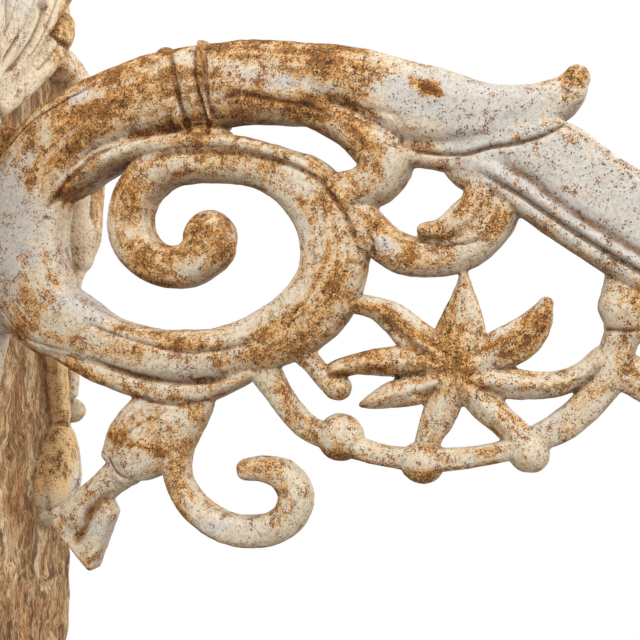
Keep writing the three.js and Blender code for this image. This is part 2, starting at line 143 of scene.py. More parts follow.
def writeMesh(name, points, faces):
    mesh = bpy.data.meshes.new(name)
    mesh.vertices.add(len(points))
    mesh.vertices.foreach_set("co", (points * mm).astype(np.float32).ravel())
    mesh.loops.add(faces.size)
    mesh.loops.foreach_set("vertex_index", faces.astype(np.int32).ravel())
    mesh.polygons.add(len(faces))
    mesh.polygons.foreach_set("loop_start", np.arange(0, faces.size, faces.shape[1], dtype=np.int32))
    mesh.update(calc_edges=True)
    mesh.validate()
    piece = bpy.data.objects.new(name, mesh)
    bpy.context.scene.collection.objects.link(piece)
    return piece


def readVectors(items, name):
    flat = np.empty(len(items) * 3, np.float32)
    items.foreach_get(name, flat)
    return flat.reshape(-1, 3).astype(float)


def readSkin(mesh):
    return readVectors(mesh.vertices, "co") / mm, readVectors(mesh.vertex_normals, "vector")


def setPoints(mesh, points):
    mesh.vertices.foreach_set("co", (points * mm).astype(np.float32).ravel())
    mesh.update()


# The piece's mesh becomes what its modifiers make of it
def settle(piece):
    bpy.context.view_layer.update()
    shaped = bpy.data.meshes.new_from_object(piece.evaluated_get(bpy.context.evaluated_depsgraph_get()))
    old = piece.data
    piece.modifiers.clear()
    piece.data = shaped
    bpy.data.meshes.remove(old)
    shaped.name = piece.name


# One casting from overlapping skins: a voxel skin over all of them, with its steps smoothed away
def cast(name, skins, voxel, smooth):
    piece = writeMesh(name, *together(skins))
    shell = piece.modifiers.new("shell", "REMESH")
    shell.mode = "VOXEL"
    shell.voxel_size = voxel * mm
    soften = piece.modifiers.new("soften", "SMOOTH")
    soften.factor = 0.5
    soften.iterations = smooth
    settle(piece)
    print(name, "cast with", len(piece.data.polygons), "faces")
    return piece


# The piece brought down to its number of triangles and shaded smooth
def thin(piece, mostTriangles):
    triangles = sum(len(p.vertices) - 2 for p in piece.data.polygons)
    if triangles > mostTriangles:
        fewer = piece.modifiers.new("fewer", "DECIMATE")
        fewer.ratio = mostTriangles / triangles
        settle(piece)
    piece.data.polygons.foreach_set("use_smooth", np.ones(len(piece.data.polygons), bool))
    print(piece.name, "thinned to", len(piece.data.polygons), "faces")


# Nearest place of each flat point on a line of points: |p - (a + t(b - a))| with t held between 0 and 1,
# and the share of the line's length at which it lies
def nearestOnLine(flat, line):
    nearest, share = np.full(len(flat), 1e9), np.zeros(len(flat))
    count = len(line) - 1
    for i in range(count):
        span = line[i + 1] - line[i]
        t = np.clip((flat - line[i]) @ span / (span @ span), 0, 1)
        away = np.linalg.norm(flat - line[i] - t[:, None] * span, axis=1)
        closer = away < nearest
        nearest = np.where(closer, away, nearest)
        share = np.where(closer, (i + t) / count, share)
    return nearest, share


# Sum over the lines (points, width, depth) of depth * exp(-(distance / width)^2), tapered off at both ends
def creaseField(flat, creases, taper=0.16, perSpan=5, reach=3):
    field = np.zeros(len(flat))
    for line, width, depth in creases:
        smooth = curveThrough(line, perSpan)[1]
        low, high = smooth.min(0) - reach * width, smooth.max(0) + reach * width
        near = np.flatnonzero(np.all((flat > low) & (flat < high), axis=1))
        away, share = nearestOnLine(flat[near], smooth)
        strength = ramp(share, 0, taper) * (1 - ramp(share, 1 - taper, 1))
        field[near] += depth * strength * np.exp(-(away / width) ** 2)
    return field


# Uneven casting: sums of plane waves in seeded directions, one set for each (wavelength, height)
def unevenness(points, seed, octaves, waves=9):
    pick = np.random.default_rng(seed)
    total = np.zeros(len(points))
    for wavelength, height in octaves:
        ways = pick.normal(size=(waves, 3))
        ways *= 2 * math.pi / wavelength / np.linalg.norm(ways, axis=1)[:, None]
        start = pick.uniform(0, 2 * math.pi, waves)
        total += height / math.sqrt(waves) * np.sin(points @ ways.T + start).sum(1)
    return total


# Sum of amount * exp(-r^2) over patches (across, up, half length, half width, tilt in degrees, amount)
def patchField(flat, patches):
    field = np.zeros(len(flat))
    for x, z, long, wide, tilt, amount in patches:
        c, s = math.cos(math.radians(tilt)), math.sin(math.radians(tilt))
        dx, dz = flat[:, 0] - x, flat[:, 1] - z
        field += amount * np.exp(-((dx * c + dz * s) / long) ** 2 - ((dz * c - dx * s) / wide) ** 2)
    return field


# How far a vertex lies below its surroundings, which are averaged in rounds, along its normal
def hollowness(mesh, points, normals, rounds):
    edges = np.empty(len(mesh.edges) * 2, np.int32)
    mesh.edges.foreach_get("vertices", edges)
    a, b = edges.reshape(-1, 2).T
    share = np.bincount(a, minlength=len(points)) + np.bincount(b, minlength=len(points))
    middle = points.copy()
    for _ in range(rounds):
        sums = [np.bincount(a, column[b], len(points)) + np.bincount(b, column[a], len(points))
                for column in middle.T]
        total = np.stack(sums, 1)
        middle = total / np.maximum(share, 1)[:, None]
    return np.einsum("ij,ij->i", middle - points, normals)


# Place of each flat point on the bar that holds it best: (length along it, distance to its left)
def flowAlong(flat, paths, gap=90, block=4000):
    place, ahead, length, half = [], [], [], []
    start = 0
    for path, width in paths:
        way = np.gradient(path, axis=0)
        step = np.linalg.norm(way, axis=1)
        place.append(path)
        ahead.append(way / step[:, None])
        length.append(start + np.cumsum(step))
        half.append(width)
        start += step.sum() + gap
    place, ahead = np.vstack(place), np.vstack(ahead)
    length, half = np.concatenate(length), np.concatenate(half)
    flow = np.empty((len(flat), 2))
    for first in range(0, len(flat), block):
        near = flat[first:first + block]
        away = ((near[:, None, :] - place[None]) ** 2).sum(2) / half[None] ** 2
        best = away.argmin(1)
        offset = near - place[best]
        flow[first:first + block, 0] = length[best] + (offset * ahead[best]).sum(1)
        flow[first:first + block, 1] = offset[:, 1] * ahead[best, 0] - offset[:, 0] * ahead[best, 1]
    return flow


def keepValues(mesh, name, values):
    kind, slot = ("FLOAT", "value") if values.ndim == 1 else ("FLOAT_VECTOR", "vector")
    mesh.attributes.new(name, kind, "POINT").data.foreach_set(slot, values.astype(np.float32).ravel())


armValues = {
    "halfDepth": 15, "ringHalfDepth": 12.5, "hornHalfDepth": 15, "hookHalfDepth": 13,
    "beamHalfDepth": 12, "leafHalfDepth": 10.5, "petalHalfDepth": 6, "rimHalfDepth": 6,
    "beadHalfDepth": 10, "dropLeafHalfDepth": 13, "curlHalfDepth": 8.5, "footHalfDepth": 6.2,
    "flangeThickness": 11, "seat": 12.3,
    "voxel": 0.7, "smooth": 4, "mostTriangles": 190000,
    "seed": 7, "unevenness": [(34, 0.22), (17, 0.14), (8, 0.08), (4.2, 0.05)],
    "creased": (0.1, 0.55), "edged": (0.1, 0.75), "hollow": [(0.7, 5), (0.35, 40)],
    "grooveWidth": 1.2, "grooveShare": 0.32,
}


# Main scroll: from under the horn over the top, down at the wall, round the ring and into the eye
def mainScroll():
    arm, ring = armValues["halfDepth"], armValues["ringHalfDepth"]
    eye = ring - 1
    points = [
        (232, 110, 12, arm - 6), (220, 114, 17, arm - 3), (205, 118, 20.6, arm - 1), (180, 121.4, 20.8, arm),
        (158, 121.6, 21.4, arm), (138, 120.6, 21.2, arm), (120, 118, 21.6, arm), (100, 113, 21, arm),
        (80, 106.5, 20.8, arm), (62.5, 94.8, 22.6, arm), (48.5, 77.5, 24.2, arm), (41.3, 50, 25.2, arm),
        (44, 24, 25, arm), (57, 4, 22.5, arm), (76, -4.5, 18, arm), (98, -12.5, 13.6, ring),
        (120, -17.2, 13.2, ring), (140, -18.6, 13.6, ring), (160, -17.2, 13.4, ring), (177, -13, 14.2, ring),
        (191, -8.2, 15.8, ring), (204, -1.2, 17, ring), (215, 9, 17.5, ring), (221.5, 22, 17, ring),
        (223, 37, 17.4, ring), (219.3, 52, 17, ring), (208.6, 65.6, 16, ring), (194.6, 74.2, 13, eye),
        (178, 80.2, 12, eye), (160, 83, 11.8, eye), (143, 83.8, 12, eye), (128, 80.8, 11.8, eye),
        (115.5, 71, 11.6, eye), (108.6, 57, 11.8, eye), (109.9, 43.6, 11.6, eye), (118.7, 33.2, 11, eye),
        (131, 27.9, 11.2, eye), (144, 28.8, 11.6, ring), (153.5, 35.5, 12.5, ring + 1),
    ]
    return [bar(points, square=0.7, across=72), ball(154.8, 42.9, 14.3, 14.3, ring + 1.5),
            ball(156.2, 37, 12.2, 12.2, ring + 1)]


# Bead that leaves the arm at the wall and follows the ring's outer edge
def ringBead():
    d = armValues["ringHalfDepth"] + 0.8
    return [bar([
        (58, 60, 2.6, -7), (66, 68, 4.4, -3), (77, 75.4, 6.2, -0.5), (89, 82.8, 7), (101, 87.8, 6.8),
        (114, 90.6, 6.6), (130, 91.6, 6.8), (146, 92, 6.2), (163, 90.8, 5.4), (180, 87.6, 4.8),
        (196, 82.4, 4.2), (210, 75.6, 3.8), (221, 68, 3.6), (229.5, 58, 3.4), (235, 47, 3, -0.5),
        (238.2, 37, 2.2, -3), (238.8, 29, 1.2, -6),
    ], d, across=32, perSpan=10)]


# Web between the arm and the ring's bead, up to where the opening beside the collar begins
def web():
    d = armValues["ringHalfDepth"] - 3
    points = [(104, 91, 3), (120, 95.5, 3.6), (138, 98, 3.4), (154, 98, 3), (163.5, 96.6, 2)]
    return [bar(points, d, across=32)]


# Husk: the lowest band under the ring
def husk():
    d = armValues["ringHalfDepth"] - 1.5
    return [bar([
        (66, -17, 4.5), (82, -24.5, 6), (100, -31, 6.4), (118, -36, 6.6), (138, -38.2, 6.6), (154, -36.6, 6),
        (167, -32.5, 4.6, -1), (180, -27, 3, -2),
    ], d, across=32)]


# Collar: rings that lean outwards from their tops to the arm's faces
def collar():
    d = armValues["halfDepth"]

    def ring(top, middle, bottom, halfWidth, rise):
        upper = ((top[0] + middle[0]) / 2 + 1, (top[1] + middle[1]) / 2 + 2, halfWidth, d * 0.9 + rise)
        return skin(barRows([(*top, halfWidth, d * 0.55 + rise), upper, (*middle, halfWidth, d + rise),
                             (*bottom, halfWidth, d * 0.7 + rise)], across=32))

    return [
        ring((131, 139), (137, 120), (142, 101), 4.4, 1.8),
        ring((153, 142), (157.3, 120), (160.8, 102), 2.8, 3.2),
        ring((160.5, 139.6), (166, 119), (167, 104.5), 2.4, 1.3),
    ]


# Horn: the leaf that runs on from the arm and turns up at its tip
def horn():
    d = armValues["hornHalfDepth"]
    return [bar([
        (196, 125, 14, -2), (210, 123.4, 14.6, -1), (224, 120.2, 15.4, -0.5), (241, 114.4, 16.4),
        (260, 104.4, 19.4, 0.5), (280, 99, 18.4), (300, 96, 14.2, -1), (318, 97, 11.8, -2.5),
        (328, 100.4, 10.4, -4.5), (334.6, 105, 8.8, -6.5), (338.4, 110.4, 6.4, -8.5),
    ], d, bands=[(-0.34, 0.24, -0.05, 4.5, 9, 1.5)], across=72)]


# Hook: the arm's lower strand, turned down to the ring
def hook():
    d = armValues["hookHalfDepth"]
    return [bar([
        (188, 109.5, 8, -2), (205, 106, 7.4, -1), (222, 99, 8.4), (237, 90, 10.5, 0.5), (248.5, 79, 13.6),
        (245.5, 69, 12, -1), (236, 64.4, 10.6, -2), (225, 64.5, 8.4, -3),
    ], d)]


# Path of the beam, the moulded bar that leaves from under the horn and rolls under at its far end
def beamPath():
    return deepen([
        (261, 83, 8.5, -3), (277, 83.5, 12.6, -2), (293, 81.5, 15.5, -1), (308, 76.5, 20), (325, 68.4, 23.4),
        (343, 54.2, 22.8), (362, 41, 22.8), (381, 27, 21.6), (398.5, 9, 19.4), (411, -12, 16.8),
        (413.8, -35, 14.4), (405.5, -54.5, 12.2), (389.5, -62, 10.4), (377.5, -54, 9, -1), (377, -42, 8, -1),
    ], armValues["beamHalfDepth"])


def beam():
    swell = [(-0.86, 0.13, 0.07, 1.2, 12, 1.2), (-0.5, 0.12, 0.07, 1.2, 12, 1.2)]
    return [
        bar(beamPath(), bands=swell, square=0.42, across=110),
        ball(384.5, -36.5, 10.6, 10.6, armValues["beamHalfDepth"] + 1),
    ]


# Line beside a path: each point moved to its left by a share of the half width, read from (knot, share) pairs
def beside(points, shares):
    knot, path = curveThrough(points, 2)
    ahead = np.gradient(path[:, :2], axis=0)
    ahead /= np.linalg.norm(ahead, axis=1)[:, None]
    share = np.interp(knot, [k for k, _ in shares], [v for _, v in shares])
    line = path[:, :2] + np.stack([-ahead[:, 1], ahead[:, 0]], 1) * (share * path[:, 2])[:, None]
    return line[(knot >= shares[0][0]) & (knot <= shares[-1][0])]


# Leaf scroll between ring and beam, with its folded lip
def leafScroll():
    d = armValues["leafHalfDepth"]
    return [
        bar([
            (236, 49, 10.5, -0.5), (246.5, 38.6, 9.8, -0.5), (258, 31.8, 9.6, -0.5), (270, 30.2, 9.4, -0.5),
            (282, 31.2, 9.4, -0.5), (293, 36.8, 9.6, -0.5), (301.4, 46.8, 9.6, -0.5), (306, 58, 9, -0.5),
        ], d),
        bar([
            (268.5, 42.6, 3.6, 0.5), (277, 42.4, 6, 1.5), (286, 47, 8, 1.5), (293.5, 55, 7.8, 0.8),
            (295.5, 65, 9.8), (288, 75, 11.6, -1),
        ], d),
    ]


# Flower: eight ridged fingers round a low boss
def flower():
    d = armValues["petalHalfDepth"]
    petals = [
        [(284, -22, 9), (285, -8, 12.4), (286.2, 4, 9), (286.8, 14, 5, -1), (287, 22, 1.8, -2)],
        [(288, -24, 9), (303, -15, 9.8), (315, -7.2, 9.2), (321.4, 0.4, 6.8, -0.5), (324.8, 7.6, 3.4, -1.5)],
        [(288, -27, 8), (304, -29, 8), (318, -30.4, 6.6), (330, -29.4, 5.8), (341, -24.6, 5.4),
         (349, -17, 5)],
        [(286, -29, 7), (296, -39, 8), (306, -48, 7), (316, -58, 7.6)],
        [(281, -29, 9), (275.5, -44, 8.6), (270.5, -56, 6.4), (268, -66, 6)],
        [(279, -28, 8), (263, -33.4, 8), (250.5, -37, 6.4), (242, -40, 3.8, -1), (237, -41.6, 1.6, -2.5)],
        [(277, -22, 8.5), (260, -20.5, 8), (245, -20.6, 6.6), (233, -22, 5), (224, -24.5, 4.6),
         (218, -28, 4.6)],
        [(276, -17.5, 8.5), (263, -8, 8.8), (253, 0.6, 7.6), (243, 6, 5.8), (232, 8.3, 5)],
    ]
    ridge = [(0, 0.2, 0.16, -1, 9, 1)]
    return [bar(p, d, bands=ridge, across=40, square=1.12) for p in petals] + [
        ball(283, -22.5, 27, 18, d * 0.72), ball(283, -23, 9, 9, d + 1.2),
    ]


# Beaded rim under the flower, the bud that hangs it from the beam, its stay to the beam's end, and a twig
def rim():
    d, bead = armValues["rimHalfDepth"], armValues["beadHalfDepth"]
    return [
        bar([
            (184, -24, 8.5, 1), (193, -37, 7), (200.5, -46.5, 6.4), (209.5, -54, 6.2), (226, -60.6, 6),
            (242, -65, 5.4), (256, -67, 5.2), (267.5, -67.3, 5.8), (279, -66.6, 5.6), (292, -64.6, 5),
            (305, -61.4, 5), (318, -56.4, 6.2), (332, -48.6, 7.2), (343, -38.4, 7.4), (352.2, -25.6, 8, 1),
            (356.6, -11, 7.8, 2), (360, 0, 8, 3),
        ], d, across=32, perSpan=10),
        ball(226, -58.2, 11.8, 11.8, bead), ball(267, -68.6, 10.8, 10.2, bead),
        ball(317, -61.2, 9.8, 9.8, bead),
        bar([(364, 30, 12), (362, 16, 11.8), (360.5, 5, 13.2, 1.5), (360, -2, 10)], bead),
        bar([(350, -22, 8), (359, -23.5, 9), (369, -29, 8.4), (380, -38, 7.4, 1)], d, across=32),
        bar([(205, -16, 5.8), (211.6, -22.2, 5), (217.6, -29, 4.9), (222.8, -35, 4.6)], d, across=32),
        ball(224.6, -33.6, 6.6, 6.4, d + 1.4),
    ]


# Leaf under the ring, with the curl and the cleft foot that grow from it
def dropLeaf():
    d, c, f = (armValues[name + "HalfDepth"] for name in ("dropLeaf", "curl", "foot"))
    foot = np.array([(95.6, -95), (99.4, -103.6), (86.6, -135.6), (85, -135.8), (62.6, -114.4), (60.8, -104),
                     (84, -91.5)], float)
    middle = foot.mean(0)
    near = [(0.88, -f - 0.2), (0.96, -f + 0.7), (1, -f + 2)]
    layers = []
    for share, y in near + [(share, -y) for share, y in near[::-1]]:
        ring = middle + (foot - middle) * share
        layers.append(np.stack([ring[:, 0], np.full(len(ring), y), ring[:, 1]], 1))
    return [
        bar([
            (136, -34, 23), (137, -47, 19, 1.5), (136.6, -59, 12, 1.5), (135.6, -72, 7.8, 1),
            (137, -83.6, 6.8, 0.5), (143.4, -94.6, 7, 0.5), (152.6, -102.4, 7.4, 0.5), (164, -107, 7.8, 0.5),
            (176, -108.4, 8, 0.5), (188.4, -106.4, 8.3, 0.5), (198.6, -99.8, 8.6, 0.5),
            (202.6, -89, 8.7, 0.5), (196.4, -79, 7.8), (186, -75.6, 6.6, -0.5), (176, -76.6, 5.6, -1.5),
        ], c),
        bar([(126, -43, 9, -4), (115.5, -51, 10.4, -2.5), (106.5, -61.5, 10, -2),
             (99.5, -71.5, 6.6, -3.5)], d),
        bar([(132, -52, 8, -1), (126, -60, 14), (117, -69, 17, 0.6), (110, -77, 13, -0.4),
             (106.5, -81.5, 8, -2.5)], d),
        bar([(108, -78, 9.5), (95, -88, 8.6), (84, -97.5, 8.6), (76, -106, 11)], c),
        skin(np.array(layers)),
    ]


rootLeaf = [(-36, 5), (-22, 12), (0, 20), (26, 23), (60, 23), (92, 17), (108, 10), (120, 3)]  # z, half width


# Root: the long flat leaf that seats the arm, and the arm's swelling against it
def armRoot():
    flange = barRows([(0, z, half, armValues["flangeThickness"]) for z, half in rootLeaf], across=64)
    turned = np.stack([armValues["seat"] - flange[..., 1], flange[..., 0], flange[..., 2]], 2)
    d = armValues["halfDepth"] - 2
    return [skin(turned), bar([(27, 98, 12, -2), (24, 60, 13), (24, 30, 13), (30, 4, 12, -2)], d)]


backLine = [(34, 88), (43, 98), (51.3, 105.1), (59.8, 109.7), (69.9, 113.8), (80.9, 119), (91.7, 122.9)]
beadLine = [(60, 58), (64.2, 62.4), (70.6, 69.3), (77, 75.3), (85.2, 80.6), (90.6, 85.5), (97.7, 88.8),
            (106.5, 91.3)]
beamTopLine = beside(beamPath(), [(1.6, -0.75), (3, -0.7), (5, -0.68), (12, -0.6)])

# Grooves on both faces: line of (x, z), half width, depth
armCreases = [
    (backLine + [(106, 127)], 0.8, 1),
    (beadLine + [(128, 96.5), (141, 98.4), (161, 97.6)], 2.2, 1.4),
    ([(112, 77.4), (120, 80.6), (131, 84.2), (141, 85.6), (158, 85.3), (171, 84), (188, 80.6), (196, 78.4),
      (206, 74.8), (217.7, 68), (224.4, 60.2), (230.5, 52), (234.8, 44), (237.4, 34),
      (237.8, 24)], 1.6, 1.1),
    ([(136.5, 144), (138.6, 135), (140.6, 129.4), (142, 121.9), (144, 111.9), (146.4, 99.8),
      (147.5, 92)], 1.6, 2),
    ([(149.8, 148), (151.5, 139), (153.6, 128.3), (155.5, 117), (157.1, 108), (157.9, 97),
      (158.5, 90)], 1.4, 1.4),
    ([(157.5, 148), (158.6, 137), (159.6, 122), (161, 109), (163.2, 99), (164, 90)], 1.3, 1.3),
    ([(166, 107), (169, 110.8), (175, 112.6), (184, 111.6), (192, 109.7), (205, 106.3), (213, 104.8),
      (219, 102.3), (232, 97)], 1.7, 1.2),
    ([(220, 108), (233.9, 102.6), (241, 99.8), (249, 98.6), (256.8, 96), (259.7, 91), (258.9, 85),
      (261.1, 81)], 1.4, 0.7),
    ([(257, 83.2), (264.9, 80.2), (272, 78.4), (282, 76.9), (291, 77.1), (300, 79), (313, 80.2), (326, 83.8),
      (335, 90), (341, 96)], 1.2, 1.8),
    ([(266.4, 79.7), (266, 74.2), (266.7, 68.6)], 0.9, 0.8),
    ([(242.1, 45), (244.6, 37), (245.6, 29)], 1.3, 1.2),
    ([(262, 40.6), (266, 38.4), (270, 37), (276, 35.4), (283, 35), (291.8, 36.2), (298, 38.5),
      (304, 43)], 1.1, 1.4),
    ([(84, 2), (89.4, -1.5), (98.3, -5.2), (109.7, -9), (120.1, -11.6), (129.5, -14), (139.6, -16),
      (149.6, -16.8), (158, -16.1), (172, -14), (186, -9.6), (197, -4)], 1.5, 1.5),
    ([(86, -19), (98, -23.5), (111.5, -27.6), (120.1, -29.6), (129.5, -31.2), (141.3, -32.1), (153.7, -31.6),
      (166, -30.4), (180, -27)], 1.1, 1.3),
    ([(108, -36.8), (115.2, -40), (123.8, -42.3), (134, -43.9), (147.4, -43.6), (158.9, -41.1),
      (168, -37)], 1.1, 1.2),
    ([(30, 14), (34.6, 6.3), (44.1, -4.2), (53.5, -11), (62.8, -14), (72, -15.9), (83, -18)], 0.9, 0.7),
    ([(138, -45.5), (125.2, -51.4), (114.9, -57), (109, -62)], 1.1, 1.2),
    ([(99.5, -72), (101.5, -75.4), (105.6, -80.4), (111.4, -84), (118, -86)], 1, 1.3),
    ([(104, -93), (101.5, -94.2), (96.1, -96.4), (89, -101.2), (84.5, -109.3), (79.6, -117.6),
      (78, -124)], 3.2, 1.9),
    ([(246.7, 1), (252.6, -3.4), (258.3, -8.2), (264, -12.2), (273, -17.6)], 1.5, 1.3),
    ([(244, -28.2), (252, -28), (258.3, -26.6), (272, -24.8)], 1.3, 1.3),
    ([(262, -34.6), (268, -36.4), (276, -31)], 1.3, 1),
    ([(301, -22.8), (308, -22.3), (316, -20)], 1.3, 0.9),
    ([(294, -31), (300.8, -33.4), (307, -36)], 1.3, 1),
    ([(220.5, -22.4), (220.4, -27.4), (224.5, -27.4), (232, -27)], 0.9, 1),
    ([(344, -3.6), (353.2, -4.4), (360, -4.8), (376, -4.2)], 1.2, 1.6),
    ([(348, 21.5), (356.9, 16.8), (366, 12), (376, 8)], 1.1, 1),
    ([(334, -35), (340, -30.4), (345.7, -25.4), (351, -18.6)], 1.2, 1),
    ([(374, -27), (383, -22), (394, -30), (397, -44)], 1.4, 1.2),
    (beamTopLine, 1.3, 1.8),
    (beside(beamPath(), [(1.9, -0.2), (3.4, -0.28), (4.5, -0.36), (7, -0.34), (12, -0.3)]), 3.2, 1.8),
    (beside(beamPath(), [(3.4, 0.86), (5, 0.88), (12, 0.8)]), 1.4, 0.9),
]

armForms = [mainScroll, ringBead, web, husk, collar, horn, hook, beam, leafScroll, flower, rim, dropLeaf,
            armRoot]
armSkins = [part for form in armForms for part in form()]
arm = cast("scroll_arm_casting", armSkins, armValues["voxel"], armValues["smooth"])


# The arm's skin moved along its normals: unevenness, less the grooves, and cut flat at the seat
def carveArm(piece):
    mesh = piece.data
    points, normals = readSkin(mesh)
    face = ramp(np.abs(normals[:, 1]), *armValues["creased"])
    move = unevenness(points, armValues["seed"], armValues["unevenness"])
    move -= face * creaseField(points[:, [0, 2]], armCreases)
    points += normals * move[:, None]
    points[:, 0] = np.maximum(points[:, 0], armValues["seat"])
    setPoints(mesh, points)


# Rust on the arm: patches (x, z, half length, half width, tilt, amount) on both faces
armRust = [
    (97, 107, 32, 11, 18, 1.15), (112, 126, 24, 5, 12, 0.6), (62, 108, 40, 5, 36, 0.6),
    (27, 84, 22, 6, 62, 0.8), (58, 72, 9, 15, -30, 0.5), (70, 67, 9, 5, -50, 0.7), (76, 88, 22, 4, 35, 0.6),
    (88, 78, 14, 4, 30, 0.2), (60, -4, 30, 9, -22, 0.4), (134, 116, 9, 22, 12, 0.6),
    (155, 118, 5, 22, -8, 0.8), (171, 114, 9, 16, 0, 0.5), (205, 106, 34, 7, -12, 0.8),
    (205, 131, 34, 6, -4, 0.6), (222, 118, 20, 4, -16, 0.9), (214, 101, 18, 5, -16, 0.5),
    (222, 127, 9, 4, -8, 0.4), (250, 117, 17, 5, -17, 0.45), (234, 106, 16, 5, -12, 0.7),
    (273, 108, 8.5, 4.5, -24, 2.3), (288, 101, 10, 3, -20, 0.9), (240, 84, 13, 13, 0, 1),
    (214, 101, 12, 4, -15, 0.5), (155, 42, 15, 14, 0, 0.8), (131, 29, 24, 10, 8, 0.85),
    (112, 58, 9, 24, 0, 0.85), (150, 84, 38, 7, 0, 0.35), (196, 77, 16, 7, -20, 0.45),
    (218, 54, 12, 16, 20, 0.5), (226, 26, 12, 22, 0, 0.85), (205, -2, 20, 10, 35, 0.5),
    (152, -11, 30, 6, 0, 0.25), (122, -36, 34, 5, -12, 0.4), (170, -22, 26, 6, 12, 0.4),
    (286, 43, 14, 6, 12, 0.35), (295, 56, 8, 11, 20, 0.15), (263, 31, 5, 9, 0, 0.75),
    (276, 27, 16, 4, 0, 0.45), (300, 44, 7, 8, 0, 0.5), (249, 44, 10, 4, -40, 0.5),
    (285, -2, 8, 20, 0, 0.85), (282, -22, 17, 13, 0, 0.7), (316, -4, 14, 7, 42, 0.45),
    (246, -19, 15, 6, 0, 0.75), (262, -6, 12, 7, -35, 0.5), (248, 3, 10, 5, -25, 0.55),
    (272, -50, 7, 14, 20, 0.4), (226, -66, 10, 4, 0, 0.7), (267, -75, 10, 4, 0, 0.7),
    (317, -67, 10, 4, 0, 0.7), (197, -42, 8, 14, 40, 0.45), (337, 111, 5, 4, 60, 0.7),
    (330, 91, 10, 3, 24, 0.2), (106, -62, 7, 7, 0, 0.6), (124, -60, 20, 16, 0, 0.3),
    (88, -104, 12, 4, 48, 0.7), (366, 8, 9, 14, 0, 0.6), (358, -20, 10, 12, 60, 0.45),
    (183, -77, 11, 7, 0, 0.55), (140, -88, 7, 12, 0, 0.15), (196, -86, 8, 10, 0, 0.2),
    (222, -36, 8, 6, 0, 0.5), (340, -32, 12, 8, 45, 0.35),
]
# Clean, cool white paint on the arm
armClean = [
    (38, 52, 19, 40, 0, 1.3), (20, 20, 16, 30, 0, 0.8), (86, 119, 10, 5, 15, 0.9), (80, 8, 22, 6, -20, 0.8),
    (74, 28, 16, 5, -68, 0.9), (90, 5, 14, 4, -42, 0.6), (286, 103, 38, 11, -5, 1.4),
    (262, 110, 20, 8, -25, 0.3), (252, 37, 7, 8, 0, 0.8), (320, 74, 34, 18, -33, 1),
    (333, 50, 44, 8, -37, 1.2), (184, 119, 7, 5, 0, 0.9), (201, 116, 8, 4, -10, 0.9),
    (225, 106, 7, 4, -20, 0.7), (172, 124, 5, 6, 0, 0.5), (362, 44, 34, 18, -40, 1.2),
    (402, 4, 24, 30, 0, 1.2), (300, 72, 22, 8, -30, 0.8), (160, -106, 26, 6, 0, 0.7),
    (92, -112, 8, 14, 40, 0.8), (218, 112, 10, 3, -10, 0.5), (128, 100, 20, 4, 8, 0.5),
    (150, -27, 28, 4, 0, 0.4), (205, -50, 12, 4, -30, 0.5), (330, -44, 12, 4, 35, 0.5),
]
# Stains drawn out along an edge or fold: line of (x, z), width, amount
armStains = [
    ([(10, 60), (18, 82), (30, 98), (46, 112), (66, 123), (90, 132), (114, 139), (136, 143)], 5.5, 1.3),
    ([(96, -58), (106, -62.4), (112.6, -63.6), (123.8, -65.4), (138, -70)], 1.9, 1.2),
    ([(266, 42), (280, 46), (288, 52), (290, 66)], 2.4, 0.45),
    ([(40, -14), (60, -22), (84, -30), (104, -38)], 4, 0.7),
    ([(150, 139), (180, 141), (214, 138), (240, 131)], 3, 0.7),
    ([(108, 95), (132, 99), (150, 99.5), (166, 98)], 3, 1),
    ([(66, 61), (74, 64.5), (82, 67.6), (92, 69.6), (103, 73), (112, 76.6)], 3.4, 1),
    ([(126, 138.6), (136, 140), (147, 141)], 2.6, 1.2),
    ([(159, 140), (164, 137), (170, 135.4)], 2.6, 1.2),
    ([(212, 124), (220, 124), (228, 121)], 2.6, 1.1),
    ([(230, -71), (262, -74)], 2.2, 0.6),
    ([(272, -72), (312, -66)], 2, 0.5),
    ([(136, -95), (150, -108), (172, -115), (194, -112)], 2.4, 0.6),
]
# Dark brown dirt and painted shade that lie in some grooves: line of (x, z), width, amount
armDirtAndShade = [
    (beadLine, 1.6, 1.1),
    (backLine, 0.9, 0.9),
    ([(75, 100), (90, 106), (110, 112), (128, 117)], 2.2, 0.45),
    ([(209.3, 124.7), (232.1, 118.8), (248.4, 111.7)], 1.8, 0.9),
    ([(267, 110.2), (273, 107.6), (280, 104)], 2, 1.7),
    ([(138, 140), (140.9, 127), (144, 112), (147.4, 98)], 1.5, 0.95),
    ([(151.6, 140), (154.6, 122), (157.1, 108), (159, 98)], 1.5, 0.95),
    ([(158.6, 137), (159.6, 122), (161, 109), (163.2, 99)], 1.2, 0.8),
    ([(166, 107), (175, 112.6), (192, 109.7), (213, 104.8), (226, 98.2)], 1.6, 0.8),
    ([(261, 81), (282, 76.9), (300, 79), (326, 83.8), (341, 96)], 1.6, 0.5),
    ([(344, -3.6), (360, -4.8), (376, -4.2)], 1.3, 0.9),
    ([(99.5, -72), (105.6, -80.4), (118, -86)], 1.2, 0.6),
    ([(244.6, 37), (245.6, 29)], 1.5, 0.8),
    (beamTopLine, 1.2, 0.7),
    (beside(beamPath(), [(2.6, -0.1), (3.4, -0.2), (4.5, -0.36), (7, -0.34), (12, -0.3)]), 3, 0.25),
]
